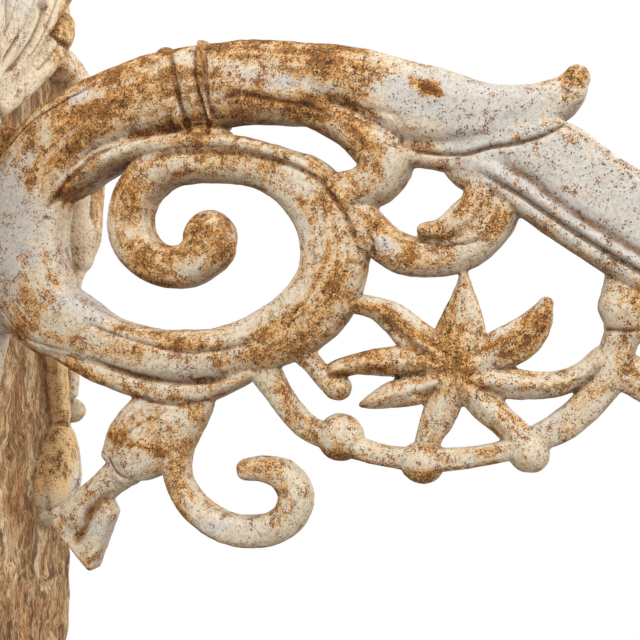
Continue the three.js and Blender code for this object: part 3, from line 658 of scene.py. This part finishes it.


# Values that the arm's paint reads: (hollow, groove, upward), (rust, clean, nearness to an edge, for painted
# shade on side faces) and the flow
def markArm(piece):
    values = armValues
    mesh = piece.data
    points, normals = readSkin(mesh)
    flat = points[:, [0, 2]]
    hollow = sum(share * hollowness(mesh, points, normals, rounds) for share, rounds in values["hollow"])
    # The carved creases and the dirt lines give the groove value, which the paint darkens as dirt and painted
    # shade
    carved = creaseField(flat, [(line, width * values["grooveWidth"], values["grooveShare"] * depth)
                                for line, width, depth in armCreases])
    groove = np.abs(normals[:, 1]) * (carved + creaseField(flat, armDirtAndShade))
    # Side faces near the outline, which the paint darkens as painted shade
    rim = 1 - ramp(np.abs(normals[:, 1]), *values["edged"])
    rust = patchField(flat, armRust) + creaseField(flat, armStains)
    keepValues(mesh, "marks", np.stack([hollow, groove, normals[:, 2]], 1))
    keepValues(mesh, "zones", np.stack([rust, patchField(flat, armClean), rim], 1))
    keepValues(mesh, "flow", np.column_stack([flowAlong(flat, drawnPaths), points[:, 1]]) * mm)
    print("arm marked, hollow from", hollow.min().round(2), "to", hollow.max().round(2))


carveArm(arm)
thin(arm, armValues["mostTriangles"])
markArm(arm)
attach(arm, "root")
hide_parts("scroll_arm")


plateValues = {
    "thickness": 12, "halfWidth": 89, "top": 228, "bottom": -222, "corner": 22, "edge": 2,
    "edgeRound": 0.3, "relief": 25, "rooting": 2, "clear": 0.8,
    "voxel": 1, "smooth": 3, "mostTriangles": 190000,
    "seed": 11, "unevenness": [(40, 0.25), (18, 0.16), (8, 0.1)],
    "raised": (0.5, 4), "front": (0.2, 0.7), "unevenFrom": (1, 8), "fibreFrom": (6, 11), "bare": (0.6, 3.2),
    "hiddenFrom": 1, "sunk": 0.4, "back": 0.6, "levelFrom": 2, "level": 0.05, "facing": (0, 0.5),
    "fibreSeed": 23, "fibres": [(9, 0.22), (4.6, 0.2), (2.6, 0.14)], "fibreStretch": (1, 1, 0.07),
    "raggedSeed": 31, "ragged": [(46, 1.3), (19, 0.8), (8, 0.4)], "raggedStretch": (0.2, 0.2, 1), "worn": 0.8,
    "raggedFrom": (84, 88.5), "hollow": [(0.5, 4), (0.3, 30)], "grooveWidth": 1.2, "grooveDepth": 0.6,
}


# A bar on the plate: drawn as (y, z, half width, share of the relief's height), half sunk in the face
def plateBar(points, mirror=False, **shape):
    values = plateValues
    rows = barRows([(y, z, w, share * values["relief"]) for y, z, w, share in points], **shape)
    across = -rows[..., 0] if mirror else rows[..., 0]
    out = values["thickness"] + np.maximum(-rows[..., 1], -values["rooting"])
    return skin(np.stack([out, across, rows[..., 2]], 2))


def plateBall(y, z, long, wide, share, mirror=False):
    points, tris = ball(y, z, long, wide, share * plateValues["relief"])
    across = -points[:, 0] if mirror else points[:, 0]
    depth = plateValues["thickness"] + np.maximum(points[:, 1], -plateValues["rooting"])
    points = np.stack([depth, across, points[:, 2]], 1)
    return points, tris if mirror else tris[:, ::-1]


# Board: rings round a rounded rectangle, drawn in at the front face's edge
def board():
    values = plateValues
    w, r, top, bottom = values["halfWidth"], values["corner"], values["top"], values["bottom"]
    a = np.linspace(0, math.pi / 2, 12)
    corners = [(w - r, top - r, 0), (-w + r, top - r, 1), (-w + r, bottom + r, 2), (w - r, bottom + r, 3)]
    angles = [a + k * math.pi / 2 for _, _, k in corners]
    outline = np.vstack([np.stack([y + r * np.cos(angle), z + r * np.sin(angle)], 1)
                         for (y, z, _), angle in zip(corners, angles)])
    middle = np.array([0, (top + bottom) / 2])
    half = np.array([w, (top - bottom) / 2])
    thickness, edge = values["thickness"], values["edge"]
    soft = edge * values["edgeRound"]
    rows = []
    for inset, x in ((0, 0), (0, thickness - edge), (soft, thickness - soft), (edge, thickness)):
        flat = middle + (outline - middle) * (1 - inset / half)
        rows.append(np.stack([np.full(len(flat), x), flat[:, 0], flat[:, 1]], 1))
    return skin(np.array(rows, float))


# Relief on one half: leaf lobes, the strap, two stems, the teardrop and the knob
def reliefHalf(mirror):
    lobes = [
        [(10, 124, 7, 0.4), (28, 143, 10, 0.62), (46, 163, 11.5, 0.78), (60, 180, 10.5, 0.78),
         (68, 190, 8, 0.62)],
        [(7, 130, 7, 0.4), (22, 160, 10.5, 0.72), (40, 190, 12.5, 0.9), (55, 207, 13.5, 0.86),
         (65, 215, 10, 0.64)],
        [(3, 134, 7, 0.4), (10, 168, 9, 0.76), (20, 198, 10, 1), (27, 214, 9, 0.8)],
    ]
    strap = [
        (57, 168, 9, 0.56), (72, 163, 10.5, 0.68), (86, 150, 11.5, 0.76), (94, 128, 12, 0.8),
        (95, 104, 13, 0.8), (91, 78, 16, 0.8), (89, 56, 16.5, 0.76), (88, 41, 12, 0.6),
    ]
    stems = [
        [(88, 36, 8, 0.44), (86, 20, 4, 0.34), (82, -8, 4.6, 0.4), (81, -30, 5, 0.44), (80, -48, 5, 0.4)],
        [(28, 28, 6, 0.32), (50, 10, 7, 0.38), (62, -12, 7.2, 0.44), (66, -36, 7.2, 0.44),
         (70, -62, 6.6, 0.4)],
    ]
    tear = [(71, -66, 6, 0.36), (69, -79, 13, 0.6), (66, -95, 18, 0.72), (63, -110, 17, 0.68),
            (62.4, -119, 12.5, 0.5)]
    skins = [plateBar(p, mirror) for p in lobes + [strap]]
    skins += [plateBar(p, mirror, square=0.6) for p in stems]
    return skins + [plateBar(tear, mirror), plateBall(85.5, -60, 8, 8.4, 0.5, mirror)]


foldLine = [(44.3, 178), (47, 172.6), (52, 171), (58, 170.6), (64, 173)]
tearLine = [(60, -66.5), (66, -66), (74, -68)]

# Grooves in the relief of one half: line of (y, z), half width, depth
plateCreases = [
    ([(8, 205), (4.2, 181.6), (2.3, 169), (-2.6, 160.4), (-5.1, 151.8), (-8.7, 146.5),
      (-10.5, 139.8)], 1.3, 1.6),
    ([(22, 208), (18, 186), (14.5, 169.3), (10, 162.6), (6.1, 154.3), (2, 147), (1.4, 138)], 1.3, 1.7),
    ([(34, 205), (29.4, 185.8), (28, 180.4), (24.6, 171.4), (20.6, 162.8), (14, 151.5), (10.7, 145.7),
      (2.5, 138.3)], 1.7, 2.6),
    ([(46, 204), (38, 188), (33, 176), (27, 162), (20, 150)], 1.3, 1.4),
    ([(58, 186), (48, 171), (38, 158), (26, 145)], 1.3, 1.3),
    (foldLine, 2, 3.2),
    ([(84, 140), (88, 118), (88, 98), (86, 76), (86, 58)], 3.2, 3.4),
    ([(99, 140), (102, 118), (100, 96), (98, 74), (94, 56)], 1.6, 1.3),
    (tearLine, 1.6, 2.2),
    ([(71, -74), (73, -84), (73.5, -94), (71, -104), (66, -112)], 1.2, 1.4),
]

plateSkins = [board()] + reliefHalf(False) + reliefHalf(True)
plateSkins.append(plateBar([(0, 138, 6, 0.5), (0, 172, 9, 0.8), (0, 200, 11, 1), (0, 214, 9, 0.8)]))
plate = cast("wall_plate_casting", plateSkins, plateValues["voxel"], plateValues["smooth"])


# Where the arm's root leaf covers the plate: inside the ellipse of the leaf's section at that height
def underRoot(points):
    clear = plateValues["clear"]
    heights, halves = np.array([(-38, 0.1), *rootLeaf, (123, 0.1)]).T
    half = np.interp(points[:, 2], heights, halves) + clear
    height = (points[:, 0] - armValues["seat"]) / (armValues["flangeThickness"] + clear)
    inside = (points[:, 1] / half) ** 2 + height ** 2 < 1
    return inside & (points[:, 2] > heights[0]) & (points[:, 2] < heights[-1])


# The plate's skin moved in the same way, with upright fibres on its bare ground and ragged sides
def carvePlate(piece):
    values = plateValues
    thickness = values["thickness"]
    mesh = piece.data
    points, normals = readSkin(mesh)
    raised = ramp(points[:, 0], *(thickness + over for over in values["raised"]))
    front = ramp(normals[:, 0], *values["front"])
    folded = np.stack([np.abs(points[:, 1]), points[:, 2]], 1)
    move = unevenness(points, values["seed"], values["unevenness"])
    move *= ramp(points[:, 0], *values["unevenFrom"])
    move -= raised * front * creaseField(folded, plateCreases)
    fibre = unevenness(points * np.array(values["fibreStretch"]), values["fibreSeed"], values["fibres"])
    move += (1 - raised) * ramp(points[:, 0], *values["fibreFrom"]) * fibre
    points += normals * move[:, None]
    hidden = underRoot(points) & (points[:, 0] > thickness - values["hiddenFrom"])
    points[hidden, 0] = thickness - values["sunk"]
    points[points[:, 0] < values["back"], 0] = 0
    ragged = unevenness(points * np.array(values["raggedStretch"]), values["raggedSeed"], values["ragged"])
    inward = ramp(np.abs(points[:, 1]), *values["raggedFrom"]) * (1 - raised) * (ragged - values["worn"])
    points[:, 1] += np.sign(points[:, 1]) * inward
    level = np.minimum(points[:, 0], thickness + values["level"])
    points[:, 0] = np.where(points[:, 0] < thickness + values["levelFrom"], level, points[:, 0])
    setPoints(mesh, points)


# Rust, clean paint, golden stain, and dirt with painted shade on the relief: the arm's rows, with y in place
# of x
plateRust = [
    (93, 100, 6, 40, 0, 0.8), (60, 180, 14, 10, 40, 0.5), (20, 170, 14, 20, 0, 0.25),
    (40, 190, 14, 18, 30, 0.3), (52, -92, 8, 20, 10, 0.5), (66, -72, 14, 5, 0, 0.9),
    (65, -38, 8, 34, 4, 0.5), (84, -60, 6, 8, 0, 0.5), (50, 160, 12, 12, 0, 0.4), (58, 196, 16, 14, 0, 0.5),
    (70, 158, 10, 6, -20, 0.5),
]
plateClean = [
    (12, 190, 16, 26, 0, 0.9), (34, 200, 10, 18, 20, 0.5), (100, 110, 5, 30, 0, 0.4),
    (66, -104, 8, 12, 0, 0.9),
]
plateGolden = [
    (64, -34, 9, 38, 4, 1.1), (52, -92, 10, 22, 8, 0.9), (66, -74, 14, 8, 0, 0.7), (92, 100, 6, 48, 0, 0.45),
    (62, 190, 16, 14, 40, 0.6), (50, 150, 16, 12, 30, 0.35),
]
# Dirt and painted shade lines, such as the dark outline along the teardrop's left side: line of (y, z),
# width, amount
plateDirtAndShade = [
    (foldLine, 2.4, 1.1),
    ([(52.8, 156.9), (60.3, 153.5), (67.8, 151), (75.6, 149.3)], 2.6, 0.8),
    ([(21, 130), (28, 128), (37, 142), (44, 158)], 2.6, 0.8),
    (tearLine, 2, 1),
    ([(82, 140), (80, 118), (79, 98), (76, 76), (72, 58)], 2.4, 0.8),
    ([(56, -10), (58.2, -23), (59.4, -37), (62, -55), (64, -66)], 1.5, 1),
    ([(64, -68), (57, -73), (51, -80), (48.6, -92), (47.6, -104), (50, -115), (56, -124),
      (62, -128)], 1.5, 1),
    ([(71, 6), (74, -20), (75, -46), (77, -60)], 1.5, 0.8),
]


# Values that the plate's finish reads: (hollow, groove, upward), (rust, clean, bare ground) and golden stain
def markPlate(piece):
    values = plateValues
    mesh = piece.data
    points, normals = readSkin(mesh)
    folded = np.stack([np.abs(points[:, 1]), points[:, 2]], 1)
    hollow = sum(share * hollowness(mesh, points, normals, rounds) for share, rounds in values["hollow"])
    carved = creaseField(folded, [(line, width * values["grooveWidth"], values["grooveDepth"])
                                  for line, width, _ in plateCreases])
    groove = ramp(normals[:, 0], *values["facing"]) * (carved + creaseField(folded, plateDirtAndShade))
    ground = 1 - ramp(points[:, 0], *(values["thickness"] + over for over in values["bare"]))
    keepValues(mesh, "marks", np.stack([hollow, groove, normals[:, 2]], 1))
    rust, clean = patchField(folded, plateRust), patchField(folded, plateClean)
    keepValues(mesh, "zones", np.stack([rust, clean, ground], 1))
    keepValues(mesh, "golden", patchField(folded, plateGolden))
    print("plate marked")


carvePlate(plate)
thin(plate, plateValues["mostTriangles"])
markPlate(plate)
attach(plate, "root")
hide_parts("wall_plate")


# Colour from the 0 to 255 of a paint chart, made linear
def tint(red, green, blue):
    c = np.array([red, green, blue]) / 255
    return (*np.where(c <= 0.04045, c / 12.92, ((c + 0.055) / 1.055) ** 2.4).tolist(), 1)


# A node of a kind, with values or links for its inputs
def place(tree, kind, inputs, **settings):
    node = tree.nodes.new("ShaderNode" + kind)
    for name, value in settings.items():
        setattr(node, name, value)
    for name, value in inputs.items():
        if isinstance(value, bpy.types.NodeSocket):
            tree.links.new(value, node.inputs[name])
        else:
            node.inputs[name].default_value = value
    return node


def reckon(tree, operation, a, b=0, c=0):
    return place(tree, "Math", {0: a, 1: b, 2: c}, operation=operation).outputs[0]


def plus(tree, a, b):
    return reckon(tree, "ADD", a, b)


def minus(tree, a, b):
    return reckon(tree, "SUBTRACT", a, b)


def times(tree, a, b):
    return reckon(tree, "MULTIPLY", a, b)


# value * factor + start
def scaled(tree, value, factor, start):
    return reckon(tree, "MULTIPLY_ADD", value, factor, start)


# Noise moved to lie about 0: span * (noise - 1/2)
def centred(tree, noise, span):
    return scaled(tree, noise, span, -span / 2)


def grain(tree, vector, scale, detail=2, roughness=0.5, distortion=0, output="Fac"):
    inputs = {"Vector": vector, "Scale": scale, "Detail": detail, "Roughness": roughness,
              "Distortion": distortion}
    return place(tree, "TexNoise", inputs).outputs[output]


# Smooth step from 0 at low to 1 at high
def edge(tree, value, low, high):
    return place(tree, "MapRange", {"Value": value, "From Min": low, "From Max": high},
                 interpolation_type="SMOOTHSTEP").outputs[0]


def coat(tree, factor, under, over, mode="MIX"):
    return place(tree, "Mix", {0: factor, 6: under, 7: over}, data_type="RGBA", blend_type=mode).outputs[2]


# A colour multiplied by a dye, by a share
def darken(tree, factor, colour, dye):
    return coat(tree, factor, colour, coat(tree, 1, colour, tint(*dye), "MULTIPLY"))


def stretch(tree, vector, scale):
    return place(tree, "Mapping", {"Vector": vector, "Scale": scale}).outputs[0]


def newGroup(name, inputs, outputs):
    group = bpy.data.node_groups.new(name, "ShaderNodeTree")
    for label, kind, value in inputs:
        socket = group.interface.new_socket(label, in_out="INPUT", socket_type="NodeSocket" + kind)
        if value is not None:
            socket.default_value = value
    for label, kind in outputs:
        group.interface.new_socket(label, in_out="OUTPUT", socket_type="NodeSocket" + kind)
    return group, group.nodes.new("NodeGroupInput").outputs, group.nodes.new("NodeGroupOutput").inputs


def useGroup(tree, group, inputs):
    return place(tree, "Group", inputs, node_tree=group).outputs


grainValues = {"coarse": 0.28, "fineShare": 0.62, "coarseShare": 0.38, "limit": 0.74, "fall": 0.48}
pitValues = {"radius": (0.9, 0.4), "soft": 0.6}


# Grains of rust: fine and coarse noise over a limit that falls as the density grows
def makeRustGrain():
    values = grainValues
    tree, given, out = newGroup("rustGrain", [
        ("Vector", "Vector", None), ("Scale", "Float", 800), ("Density", "Float", 0.5),
        ("Softness", "Float", 0.04),
    ], [("Mask", "Float")])
    fine = grain(tree, given["Vector"], given["Scale"], 2, 0.7)
    coarse = grain(tree, given["Vector"], times(tree, given["Scale"], values["coarse"]), 2, 0.6)
    both = plus(tree, times(tree, fine, values["fineShare"]), times(tree, coarse, values["coarseShare"]))
    limit = minus(tree, values["limit"], times(tree, given["Density"], values["fall"]))
    low, high = minus(tree, limit, given["Softness"]), plus(tree, limit, given["Softness"])
    tree.links.new(edge(tree, both, low, high), out["Mask"])
    return tree


# Sparse dark pits: cells whose own random number is over a limit, inside a small radius
def makePits():
    tree, given, out = newGroup("pits", [
        ("Vector", "Vector", None), ("Scale", "Float", 300), ("Share", "Float", 0.3),
        ("Radius", "Float", 0.3),
    ], [("Mask", "Float")])
    cells = place(tree, "TexVoronoi", {"Vector": given["Vector"], "Scale": given["Scale"]})
    luck = place(tree, "SeparateColor", {"Color": cells.outputs["Color"]}).outputs
    chosen = reckon(tree, "LESS_THAN", luck[0], given["Share"])
    radius = times(tree, given["Radius"], scaled(tree, luck[1], *pitValues["radius"]))
    soft = times(tree, radius, pitValues["soft"])
    inside = minus(tree, 1, edge(tree, cells.outputs["Distance"], soft, radius))
    tree.links.new(times(tree, chosen, inside), out["Mask"])
    return tree


# Noises of the paint: scale, detail, roughness, distortion
paintNoises = {
    "slow": (26, 3, 0.6, 0.4), "middle": (95, 3, 0.6, 0.3), "small": (330, 2, 0.6),
    "mottle": (520, 3, 0.7), "rough": (1100, 3, 0.7), "streak": (190, 3, 0.65),
}
# Grains of the paint: how much the load adds to their density, where it starts, scale, softness, strength
paintGrains = {
    "Orange": (0.48, 0.23, 850, 0.05, 0.72), "Brown": (0.36, 0.22, 1250, 0.025, 0.85),
    "Dark": (0.34, 0.12, 1000, 0.02, 0.85),
}
paintColours = {
    "Cream": (214, 201, 178), "White": (201, 196, 188), "Tan": (219, 177, 112), "Orange": (203, 140, 62),
    "Brown": (132, 79, 31), "Dark": (46, 31, 20),
}
paintDyes = {
    "mottle": (214, 200, 178), "dirtAndShade": (150, 114, 78), "shade": (150, 128, 104), "fleck": (128, 84, 40),
}
paintReads = ("Hollow", "Groove", "Upward", "Rust", "Clean", "Side", "Golden")


# Spans of the noises in the drift and the patches, then loads, shares and the two ends of each smooth step
paintValues = {
    "drift": {"slow": 1.8, "middle": 2.1, "streak": 2.2}, "patches": {"middle": 2.4, "small": 1.2},
    "rustLoad": 0.56, "leastLoad": 0.31, "driftLoad": 0.72, "cleanLoad": 0.34, "mostClean": 1.2,
    "cool": (0.2, 0.7), "wornPatches": 0.3, "mottle": (0.42, 0.66), "mottleShare": 0.55,
    "wash": (0.22, 0.8), "washShare": 0.85,
    "fleckScale": 1150, "fleckSoftness": 0.015, "fleckDensity": (1.1, -0.27), "fleckShare": 0.95,
    "speckScale": 620, "speckRadius": 0.28, "speckDensity": (1.4, -0.36), "speckGrooves": 0.35,
    "speckShare": 0.85,
    "dirtAndShade": (0.1, 1.3), "dirtAndShadeHollows": 0.9, "dirtAndShadeGrain": (0.8, 0.45), "mostDirtAndShade": 0.92,
    "below": (0, 0.9), "belowShade": 0.4, "sideShade": 0.34,
    "roughness": (0.2, 0.62), "grainHeight": 0.5, "flakeHeight": 0.35,
}


# Sum of noises, each moved to lie about 0 with its span
def blend(tree, noise, spans):
    terms = [centred(tree, noise[name], span) for name, span in spans.items()]
    total = terms[0]
    for term in terms[1:]:
        total = plus(tree, total, term)
    return total


# Old paint over iron: cream to cool white, then a tan wash, orange, rust and dark rust, each in grains whose
# density grows with the rust zone and slow noise, then pits, dirt and painted shade in grooves and hollows,
# and painted shade on faces that point down and on side faces
def makeAgedPaint(rustGrain, pits):
    values = paintValues
    tree, given, out = newGroup("agedPaint", [
        ("Vector", "Vector", None), ("Streaks", "Vector", None),
        *((label, "Float", 0) for label in paintReads),
        *((label, "Color", tint(*colour)) for label, colour in paintColours.items()),
    ], [("Color", "Color"), ("Roughness", "Float"), ("Height", "Float")])
    where = given["Vector"]
    noise = {name: grain(tree, given["Streaks"] if name == "streak" else where, *settings)
             for name, settings in paintNoises.items()}
    slow, middle, small = noise["slow"], noise["middle"], noise["small"]
    drift, patches = blend(tree, noise, values["drift"]), blend(tree, noise, values["patches"])
    clean = reckon(tree, "MINIMUM", given["Clean"], values["mostClean"])
    load = scaled(tree, given["Rust"], values["rustLoad"], values["leastLoad"])
    load = plus(tree, load, times(tree, drift, values["driftLoad"]))
    load = minus(tree, load, times(tree, clean, values["cleanLoad"]))
    load = place(tree, "Clamp", {"Value": load}).outputs[0]
    cool = edge(tree, plus(tree, clean, patches), *values["cool"])
    colour = coat(tree, cool, given["Cream"], given["White"])
    worn = plus(tree, minus(tree, load, times(tree, patches, values["wornPatches"])), given["Golden"])
    mottle = times(tree, edge(tree, noise["mottle"], *values["mottle"]), values["mottleShare"])
    colour = darken(tree, mottle, colour, paintDyes["mottle"])
    wash = times(tree, edge(tree, worn, *values["wash"]), values["washShare"])
    colour = coat(tree, wash, colour, given["Tan"])
    masks = {}
    for name, (rise, start, scale, softness, strength) in paintGrains.items():
        density = scaled(tree, load, rise, start)
        inputs = {"Vector": where, "Scale": scale, "Density": density, "Softness": softness}
        masks[name] = useGroup(tree, rustGrain, inputs)["Mask"]
        colour = coat(tree, times(tree, masks[name], strength), colour, given[name])
    often = scaled(tree, middle, *values["fleckDensity"])
    inputs = {"Vector": where, "Scale": values["fleckScale"], "Density": often,
              "Softness": values["fleckSoftness"]}
    flecks = times(tree, useGroup(tree, rustGrain, inputs)["Mask"], values["fleckShare"])
    colour = coat(tree, flecks, colour, tint(*paintDyes["fleck"]))
    share = scaled(tree, slow, *values["speckDensity"])
    share = plus(tree, share, times(tree, given["Groove"], values["speckGrooves"]))
    inputs = {"Vector": where, "Scale": values["speckScale"], "Share": share, "Radius": values["speckRadius"]}
    specks = useGroup(tree, pits, inputs)["Mask"]
    colour = coat(tree, times(tree, specks, values["speckShare"]), colour, given["Dark"])
    # Dirt and painted shade: grooves and hollows darkened with a brown dye, broken up by small noise
    dirtAndShade = plus(tree, given["Groove"], times(tree, given["Hollow"], values["dirtAndShadeHollows"]))
    dirtAndShade = times(tree, edge(tree, dirtAndShade, *values["dirtAndShade"]), scaled(tree, small, *values["dirtAndShadeGrain"]))
    dirtAndShade = reckon(tree, "MINIMUM", dirtAndShade, values["mostDirtAndShade"])
    colour = darken(tree, dirtAndShade, colour, paintDyes["dirtAndShade"])
    # Painted shade: faces that point down and side faces are darkened with the shade dye
    below = edge(tree, times(tree, given["Upward"], -1), *values["below"])
    side = times(tree, given["Side"], values["sideShade"])
    shaded = plus(tree, times(tree, below, values["belowShade"]), side)
    tree.links.new(darken(tree, shaded, colour, paintDyes["shade"]), out["Color"])
    flakes = reckon(tree, "MAXIMUM", masks["Brown"], specks)
    tree.links.new(scaled(tree, flakes, *values["roughness"]), out["Roughness"])
    half = values["grainHeight"]
    height = reckon(tree, "MULTIPLY_ADD", noise["rough"], half, times(tree, small, half))
    tree.links.new(minus(tree, height, times(tree, flakes, values["flakeHeight"])), out["Height"])
    return tree


agedPaint = makeAgedPaint(makeRustGrain(), makePits())


def reader(tree, name, output="Vector"):
    return place(tree, "Attribute", {}, attribute_name=name).outputs[output]


def parts(tree, vector):
    return place(tree, "SeparateXYZ", {"Vector": vector}).outputs


def newFinish(name):
    finish = bpy.data.materials.new(name)
    finish.use_nodes = True
    tree = finish.node_tree
    return finish, tree, tree.nodes["Principled BSDF"]


# What the paint reads on either casting, and the casting's zones
def paintInputs(tree):
    marks, zones = parts(tree, reader(tree, "marks")), parts(tree, reader(tree, "zones"))
    where = place(tree, "TexCoord", {}).outputs["Object"]
    return {"Vector": where, "Hollow": marks[0], "Groove": marks[1], "Upward": marks[2], "Rust": zones[0],
            "Clean": zones[1]}, zones


# The shader takes the colour and the roughness, and the height as a bump that is `depth` metres deep
def dress(tree, shader, colour, roughness, height, specular, depth, strength=0.9):
    tree.links.new(colour, shader.inputs["Base Color"])
    tree.links.new(roughness, shader.inputs["Roughness"])
    shader.inputs["Specular IOR Level"].default_value = specular
    bump = place(tree, "Bump", {"Height": height, "Strength": strength, "Distance": depth})
    tree.links.new(bump.outputs[0], shader.inputs["Normal"])


armLook = {"streaks": (0.13, 1, 1), "specular": 0.3, "bump": 0.0008}


def armFinish():
    values = armLook
    finish, tree, shader = newFinish("aged_white_paint")
    inputs, zones = paintInputs(tree)
    inputs |= {"Streaks": stretch(tree, reader(tree, "flow"), values["streaks"]), "Side": zones[2]}
    paint = useGroup(tree, agedPaint, inputs)
    dress(tree, shader, paint["Color"], paint["Roughness"], paint["Height"], values["specular"],
          values["bump"])
    return finish


# The bare ground has upright noises: share of the height, scale, detail, roughness, distortion. Over the dull
# brown lie coats of other colours, each where a noise is high: noise, start and end of the step, share
plateLook = {
    "streaks": (1, 1, 0.16), "lessRust": 0.3, "specular": 0.25, "bump": 0.0009,
    "colours": {
        "Cream": (224, 208, 182), "White": (218, 211, 200), "Tan": (223, 184, 128), "Orange": (200, 146, 84),
        "Brown": (126, 84, 46),
    },
    "waves": 34, "bend": 0.02,
    "noises": {
        "broad": (0.3, 55, 4, 0.65, 1), "fibre": (0.12, 620, 4, 0.72, 0.6),
        "thread": (0.1, 1500, 3, 0.7, 0.5), "stain": (0.4, 30, 3, 0.6, 0.8),
        "deep": (0.22, 170, 3, 0.65, 0.6),
    },
    "dull": (140, 100, 62), "dry": (216, 180, 134),
    "dryShares": {"broad": 0.5, "fibre": 0.6}, "dryStep": (0.44, 0.62),
    "coats": {
        (228, 203, 164): ("broad", 0.5, 0.64, 0.8), (164, 104, 56): ("stain", 0.5, 0.64, 0.5),
        (98, 68, 42): ("deep", 0.5, 0.62, None), (70, 46, 28): ("thread", 0.53, 0.61, 0.85),
    },
    "low": (0.04, 0.2), "lowShare": (0.35, 0.55), "fibreHeight": 1.6, "roughness": (0.2, 0.68),
}


def plateFinish():
    values = plateLook
    finish, tree, shader = newFinish("rusted_plate")
    inputs, zones = paintInputs(tree)
    where = inputs["Vector"]
    inputs |= {"Streaks": stretch(tree, where, values["streaks"]),
               "Rust": minus(tree, zones[0], values["lessRust"]), "Golden": reader(tree, "golden", "Fac")}
    inputs |= {name: tint(*colour) for name, colour in values["colours"].items()}
    paint = useGroup(tree, agedPaint, inputs)
    waves = grain(tree, where, values["waves"], output="Color")
    about = place(tree, "VectorMath", {0: waves, 1: [-0.5] * 3}, operation="ADD").outputs[0]
    bent = place(tree, "VectorMath", {0: about, 1: [values["bend"]] * 3, 2: where},
                 operation="MULTIPLY_ADD").outputs[0]
    noise = {name: grain(tree, stretch(tree, bent, (1, 1, tall)), *settings)
             for name, (tall, *settings) in values["noises"].items()}
    shade = plus(tree, *(times(tree, noise[name], share) for name, share in values["dryShares"].items()))
    bare = coat(tree, edge(tree, shade, *values["dryStep"]), tint(*values["dull"]), tint(*values["dry"]))
    # The deep stains grow stronger towards the plate's foot
    low = edge(tree, times(tree, parts(tree, where)[2], -1), *values["low"])
    lowShare = scaled(tree, low, *values["lowShare"])
    for colour, (name, start, stop, share) in values["coats"].items():
        mask = times(tree, edge(tree, noise[name], start, stop), lowShare if share is None else share)
        bare = coat(tree, mask, bare, tint(*colour))
    ground, fibre = zones[2], noise["fibre"]
    height = plus(tree, paint["Height"], times(tree, ground, times(tree, fibre, values["fibreHeight"])))
    colour = coat(tree, ground, paint["Color"], bare)
    roughness = scaled(tree, fibre, *values["roughness"])
    dress(tree, shader, colour, roughness, height, values["specular"], values["bump"])
    return finish


arm.data.materials.append(armFinish())
plate.data.materials.append(plateFinish())
print("finishes made")

stageValues = {
    "floor": -223, "floorSpan": 4000, "floorGrey": 0.5, "floorRoughness": 0.9,
    "sky": 0.55, "ground": 0.3, "horizon": (-0.6, 0.9),
    "lens": 50, "sensor": 36, "aim": (0.215, 0, 0), "swing": 18, "distance": 0.4444,
    "lights": {
        "key": ((0, -0.6, 0.95), 0.9, 11.5), "fill": ((1.05, -0.65, 0.4), 0.9, 6.5),
        "wall": ((0.85, 0.5, 0.35), 0.6, 7),
    },
}

span, level = stageValues["floorSpan"], stageValues["floor"]
corners = np.array([(x * span, y * span, level) for x, y in ((-1, -1), (1, -1), (1, 1), (-1, 1))], float)
floor = writeMesh("floor", corners, np.array([[0, 1, 2, 3]]))

aim = Vector(stageValues["aim"])


# A camera or lamp put in the scene, turned to the aim
def stand(name, data, spot):
    piece = bpy.data.objects.new(name, data)
    piece.location = spot
    piece.rotation_euler = (aim - piece.location).to_track_quat("-Z", "Y").to_euler()
    bpy.context.scene.collection.objects.link(piece)
    return piece


eye = bpy.data.cameras.new("camera")
eye.lens = stageValues["lens"]
eye.sensor_width = stageValues["sensor"]
swing = math.radians(stageValues["swing"])
back = Vector((math.sin(swing), -math.cos(swing), 0))
bpy.context.scene.camera = stand("camera", eye, aim + back * stageValues["distance"])

for name, (spot, size, power) in stageValues["lights"].items():
    lamp = bpy.data.lights.new(name, "AREA")
    lamp.size = size
    lamp.energy = power
    stand(name, lamp, spot)


# A surface or background for the light, but plain white where the camera sees it
def whiteToCamera(tree, shading, plainKind):
    plain = place(tree, plainKind, {"Color": (1, 1, 1, 1), "Strength": 1}).outputs[0]
    seen = place(tree, "LightPath", {}).outputs["Is Camera Ray"]
    return place(tree, "MixShader", {0: seen, 1: shading, 2: plain}).outputs[0]


# Room: brighter above than below for the bracket
def room():
    world = bpy.data.worlds.new("room")
    world.use_nodes = True
    tree = world.node_tree
    tree.nodes.clear()
    height = parts(tree, place(tree, "TexCoord", {}).outputs["Generated"])[2]
    low, high = stageValues["horizon"]
    glow = place(tree, "MapRange", {"Value": height, "From Min": low, "From Max": high,
                                    "To Min": stageValues["ground"], "To Max": stageValues["sky"]}).outputs[0]
    light = place(tree, "Background", {"Color": (1, 1, 1, 1), "Strength": glow}).outputs[0]
    place(tree, "OutputWorld", {"Surface": whiteToCamera(tree, light, "Background")})
    bpy.context.scene.world = world


# Floor: grey and matt for the light
def floorFinish():
    finish, tree, shader = newFinish("pale_floor")
    shader.inputs["Base Color"].default_value = (*[stageValues["floorGrey"]] * 3, 1)
    shader.inputs["Roughness"].default_value = stageValues["floorRoughness"]
    seen = whiteToCamera(tree, shader.outputs[0], "Emission")
    tree.links.new(seen, tree.nodes["Material Output"].inputs["Surface"])
    return finish


room()
floor.data.materials.append(floorFinish())
bpy.context.scene.view_settings.view_transform = "Standard"
print("stage set")
